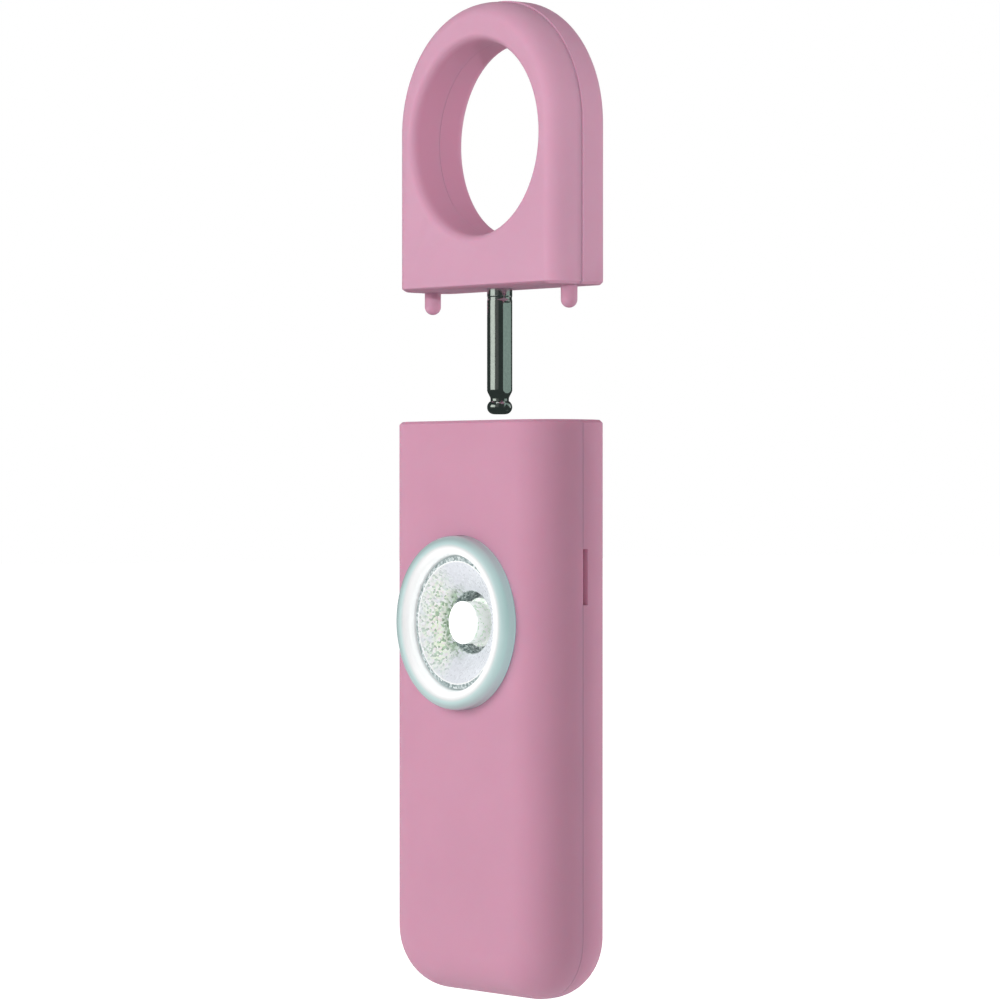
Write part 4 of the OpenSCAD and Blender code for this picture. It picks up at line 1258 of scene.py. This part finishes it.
class ALARM_OT_board_parts(AlarmStep):
    """Parts on the board: coil, chip and four small ceramic parts"""

    bl_idname = "alarm.board_parts"
    bl_label = "Parts on the board"

    def make(self, colours, detail):
        self.make_coil(colours)
        self.make_chip(colours, detail)
        self.make_small(colours, detail)

    def make_coil(self, colours):
        """Drum core with one layer of wire wound as a helix."""
        low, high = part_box("boost_coil")
        axis, tall = middle("boost_coil"), depth_of("boost_coil")
        place = (axis.x, low.y, axis.z)
        disc, end, core, dimple = (high.x - low.x) / 2 / MM, 0.5, 1.3, tall - 0.15
        corners = [
            (AXIS, 0), (disc, 0, 0.08), (disc, end, 0.08), (core, end), (core, tall - end),
            (disc, tall - end, 0.08), (disc, tall, 0.1), (0.7, tall), (0.6, dimple), (AXIS, dimple),
        ]
        drum = turned("coil_drum", corners, 64)
        stand(drum, place, TO_BACK, 35)
        ferrite = fired_ceramic("coil_ferrite", colours.ferrite)
        dress(drum, ferrite, "alarm_body", "coil_copper", "boost_coil")

        wire, pitch, turns, clear = 0.125 * MM, 0.25 * MM, 6, 0.15
        fresh()
        bpy.ops.mesh.primitive_circle_add(
            vertices=10, radius=wire, location=((core + clear) * MM, 0, (end + clear) * MM),
            rotation=(math.radians(90), 0, 0),
        )
        winding = named("coil_winding")
        bpy.ops.object.transform_apply(location=True, rotation=True)
        modify(winding, "SCREW", screw_offset=pitch, iterations=turns, steps=36, render_steps=36)
        edit(winding)
        bpy.ops.mesh.fill_holes(sides=0)
        bpy.ops.mesh.select_all(action="SELECT")
        bpy.ops.mesh.normals_make_consistent(inside=False)
        done()
        stand(winding, place, TO_BACK, 60)
        enamel = enamel_wire("winding_enamel", colours.copper)
        dress(winding, enamel, "alarm_body", "coil_copper", "boost_coil")

    def make_chip(self, colours, detail):
        """Moulded chip with a dimple at one corner and four bent legs on each side."""
        low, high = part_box("control_chip")
        leg, rows, pitch, lift, inset = 0.6 * MM, 4, 0.9 * MM, 0.08 * MM, 0.5 * MM
        left, right = low.x + leg, high.x - leg
        body = block(
            "chip_body", Vector((left, low.y + lift, low.z)), Vector((right, high.y, high.z)),
            2 * detail.small_round,
        )
        dot = turned("dot_cutter", [(0.22, -0.08), (0.25, 0.2)], 24)
        stand(dot, (left + inset, high.y, high.z - inset), TO_BACK)
        cut_away(body, dot)
        smooth(body, 35)
        black = moulding("chip_black", colours.black, 0.05 * MM, 0.45, 0.62)
        dress(body, black, "alarm_body", "black_plastic", "control_chip")
        tin = rolled_metal("leg_tin", colours.bright_metal, LINES_ACROSS)
        first = bent_leg("chip_leg_1", 0.35, [(0.14, 0), (0.14, -0.5), (0.32, 0)])
        names = [f"chip_leg_{k}" for k in range(2, 2 * rows + 1)]
        leg_y, centre = low.y + 0.57 * MM, middle("control_chip").z
        for k, piece in enumerate(repeated(first, *names)):
            z = centre + (k % rows - (rows - 1) / 2) * pitch
            x, turn = (right, TO_RIGHT) if k < rows else (left, TO_LEFT)
            stand(piece, (x, leg_y, z), turn, 30)
            dress(piece, tin, "alarm_body", "contact_strip", "control_chip")

    def make_small(self, colours, detail):
        """Four small parts: a ceramic block between two tinned ends."""
        low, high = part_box("small_parts")
        ceramic = fired_ceramic("small_ceramic", colours.ceramic)
        tin = rolled_metal("end_tin", colours.bright_metal, NO_LINES)
        half, apart, slim = Vector((0.4, 0.3, 0.8)) * MM, 3.3 * MM, 0.92
        cut, inside = half.z * 0.55, half.z * 0.5
        first = block("small_part_1", -half, half, detail.small_round)
        edit(first)
        for side in (-1, 1):
            bpy.ops.mesh.select_all(action="SELECT")
            bpy.ops.mesh.bisect(plane_co=(0, 0, side * cut), plane_no=(0, 0, 1))
        bpy.ops.mesh.select_all(action="DESELECT")
        mesh = bmesh.from_edit_mesh(first.data)
        for face in mesh.faces:
            face.select = abs(face.calc_center_median().z) < inside
            face.material_index = 0 if face.select else 1
        bmesh.update_edit_mesh(first.data)
        bpy.ops.transform.resize(value=(slim, slim, 1))
        done()
        places = [(side * apart, high.z - half.z) for side in (-1, 1)]
        places += [(side * (high.x - half.x), low.z + half.z) for side in (-1, 1)]
        names = [f"small_part_{k}" for k in range(2, len(places) + 1)]
        for part, (x, z) in zip(repeated(first, *names), places):
            stand(part, (x, low.y + half.y, z), (0, 0, 0), 35)
            dress(part, (ceramic, tin), "alarm_body", "chip_ceramic", "small_parts")


class ALARM_OT_stage(Operator):
    """Floor, world, lamps, flags and camera"""

    bl_idname = "alarm.stage"
    bl_label = "Stage"
    bl_options = {"REGISTER", "UNDO"}

    def execute(self, context):
        stage = context.scene.alarm_looks.stage
        context.scene.view_settings.view_transform = "Standard"
        self.make_world(context.scene, stage.fill)
        self.make_floor(CAD_BOX[0][2] - stage.floor_drop, stage.glow)
        target = Vector((0, 0, stage.view_height))
        self.make_lamp("key_lamp", stage.key_power, -12, 22, target, size=0.7)
        self.make_lamp("rim_lamp", stage.rim_power, 158, 8, target, size=0.6)
        self.make_lamp("loop_lamp", stage.loop_power, 60, 6, Vector(), reach=0.024)
        self.make_flags(math.degrees(stage.view_turn))
        self.make_camera(context.scene, stage)
        return {"FINISHED"}

    @staticmethod
    def bearing(turn, rise=0.0):
        """Direction from the object, turned to the right of the front and raised, in degrees."""
        a, e = math.radians(turn), math.radians(rise)
        return Vector((math.sin(a) * math.cos(e), -math.cos(a) * math.cos(e), math.sin(e)))

    def make_world(self, scene, fill):
        """White for what the camera and shiny surfaces see, soft fill for the rest."""
        scene.world = bpy.data.worlds.new("studio")
        n = blank(scene.world)
        rays = ("Is Camera Ray", "Is Glossy Ray", "Is Transmission Ray")
        seen = n.most(*(n.add("LightPath", ray) for ray in rays))
        soft = n.add("Background", Color=(1, 0.985, 0.99), Strength=fill)
        white = n.add("Background", Color=(1, 1, 1))
        n.add("OutputWorld", Surface=n.add("MixShader", Fac=seen, i1=soft, i2=white))

    def make_floor(self, height, glow):
        """Pale floor, near white to the camera, that keeps the shadow and gives back some light."""
        seen = 0.9
        fresh()
        bpy.ops.mesh.primitive_plane_add(size=12, location=(0, 0, height))
        floor = named("studio_floor")
        material = bpy.data.materials.new("floor_pale")
        n = blank(material)
        level = n.add(
            "Math", settings={"operation": "MULTIPLY_ADD"},
            i0=n.add("LightPath", "Is Camera Ray"), i1=seen - glow, i2=glow,
        )
        paint = n.add("BsdfDiffuse", Color=(0.85, 0.85, 0.85))
        lift = n.add("Emission", Color=(1, 1, 1), Strength=level)
        n.add("OutputMaterial", Surface=n.add("AddShader", i0=paint, i1=lift))
        floor.data.materials.append(material)

    def make_lamp(self, name, power, turn, rise, target, size=0.0, reach=0.0):
        """Lamp a metre from its target: a soft square one, or a narrow one with some reach."""
        light = bpy.data.lights.new(name, "SPOT" if reach else "AREA")
        light.energy = power
        if reach:
            light.spot_size, light.spot_blend = 2 * math.atan(reach), 0.3
            light.shadow_soft_size = 0.003
        else:
            light.size = size
        lamp = bpy.data.objects.new(name, light)
        bpy.context.scene.collection.objects.link(lamp)
        lamp.location = target + self.bearing(turn, rise)
        lamp.rotation_euler = (target - lamp.location).to_track_quat("-Z", "Y").to_euler()
        lamp.visible_camera = lamp.visible_glossy = False

    def make_flags(self, turn):
        """Cards round the object at angles from the view, and one over the deck under the pin."""
        dark, smoke = (0.035, 0.045, 0.042), (0.10, 0.105, 0.10)
        grey, pale = (0.29, 0.375, 0.34), (0.80, 0.85, 0.78)
        for name, side, width, rise, distance, rgb in (
            ("flag_smoke_front", -28, 34, 140, 0.9, smoke),
            ("flag_dark_front", 24, 76, 140, 0.9, dark),
            ("flag_grey_right", 80, 36, 140, 0.9, grey),
            ("flag_pale_left", -69, 48, 56, 0.85, pale),
            ("flag_dark_left", -106, 124, 140, 0.9, dark),
            ("flag_dark_rear", 143, 84, 140, 0.9, dark),
        ):
            size = [2 * distance * math.tan(math.radians(a / 2)) for a in (width, rise)]
            place = self.bearing(turn + side) * distance
            self.make_card(name, size, place, (90, 0, turn + side), rgb)
        deck = Vector((0, 0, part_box("front_shell")[1].z + 0.3 * MM))
        self.make_card("flag_dark_under", (0.16, 0.16), deck, (0, 0, 0), dark)

    def make_card(self, name, size, place, turn, rgb):
        """Card that only shiny surfaces see, turned by degrees about X, Y and Z."""
        fresh()
        bpy.ops.mesh.primitive_plane_add(size=1)
        card = named(name)
        card.scale = (*size, 1)
        stand(card, place, turn)
        material = bpy.data.materials.new(name)
        n = blank(material)
        n.add("OutputMaterial", Surface=n.add("Emission", Color=rgb))
        card.data.materials.append(material)
        card.visible_camera = card.visible_diffuse = card.visible_shadow = False
        card.visible_transmission = card.visible_volume_scatter = False

    def make_camera(self, scene, stage):
        """Level camera at the photograph's viewing angle."""
        turn = math.degrees(stage.view_turn)
        camera = bpy.data.objects.new("photo_camera", bpy.data.cameras.new("photo_camera"))
        scene.collection.objects.link(camera)
        camera.data.sensor_width = 36
        camera.data.lens = stage.view_lens
        camera.data.clip_start, camera.data.clip_end = 0.01, 30
        aside = self.bearing(turn + 90) * stage.view_aside
        level = Vector((0, 0, stage.view_height))
        camera.location = self.bearing(turn) * stage.view_distance + aside + level
        camera.rotation_euler = (math.radians(90), 0, stage.view_turn)
        scene.camera = camera


STEPS = (
    ALARM_OT_stage,
    ALARM_OT_shells,
    ALARM_OT_loop,
    ALARM_OT_pin,
    ALARM_OT_ring,
    ALARM_OT_reflector,
    ALARM_OT_lamp,
    ALARM_OT_guide,
    ALARM_OT_board,
    ALARM_OT_screws,
    ALARM_OT_switch,
    ALARM_OT_sounder,
    ALARM_OT_cells,
    ALARM_OT_board_parts,
)


class ALARM_PT_panel(Panel):
    """Lists the steps of the alarm's making."""

    bl_label = "Personal alarm"
    bl_idname = "ALARM_PT_panel"
    bl_space_type = "VIEW_3D"
    bl_region_type = "UI"
    bl_category = "Alarm"

    def draw(self, context):
        for step in STEPS:
            self.layout.operator(step.bl_idname)
        looks = context.scene.alarm_looks
        for group in (looks.colours, looks.detail, looks.stage):
            box = self.layout.box()
            for name in group.__annotations__:
                box.prop(group, name)


CLASSES = (AlarmColours, AlarmDetail, AlarmStage, AlarmLooks, *STEPS, ALARM_PT_panel)


def register():
    for cls in CLASSES:
        bpy.utils.register_class(cls)
    bpy.types.Scene.alarm_looks = PointerProperty(type=AlarmLooks)


def unregister():
    del bpy.types.Scene.alarm_looks
    for cls in reversed(CLASSES):
        bpy.utils.unregister_class(cls)


def main():
    register()
    for step in STEPS:
        group, name = step.bl_idname.split(".")
        getattr(getattr(bpy.ops, group), name)()
    fresh()


if __name__ == "__main__":
    main()
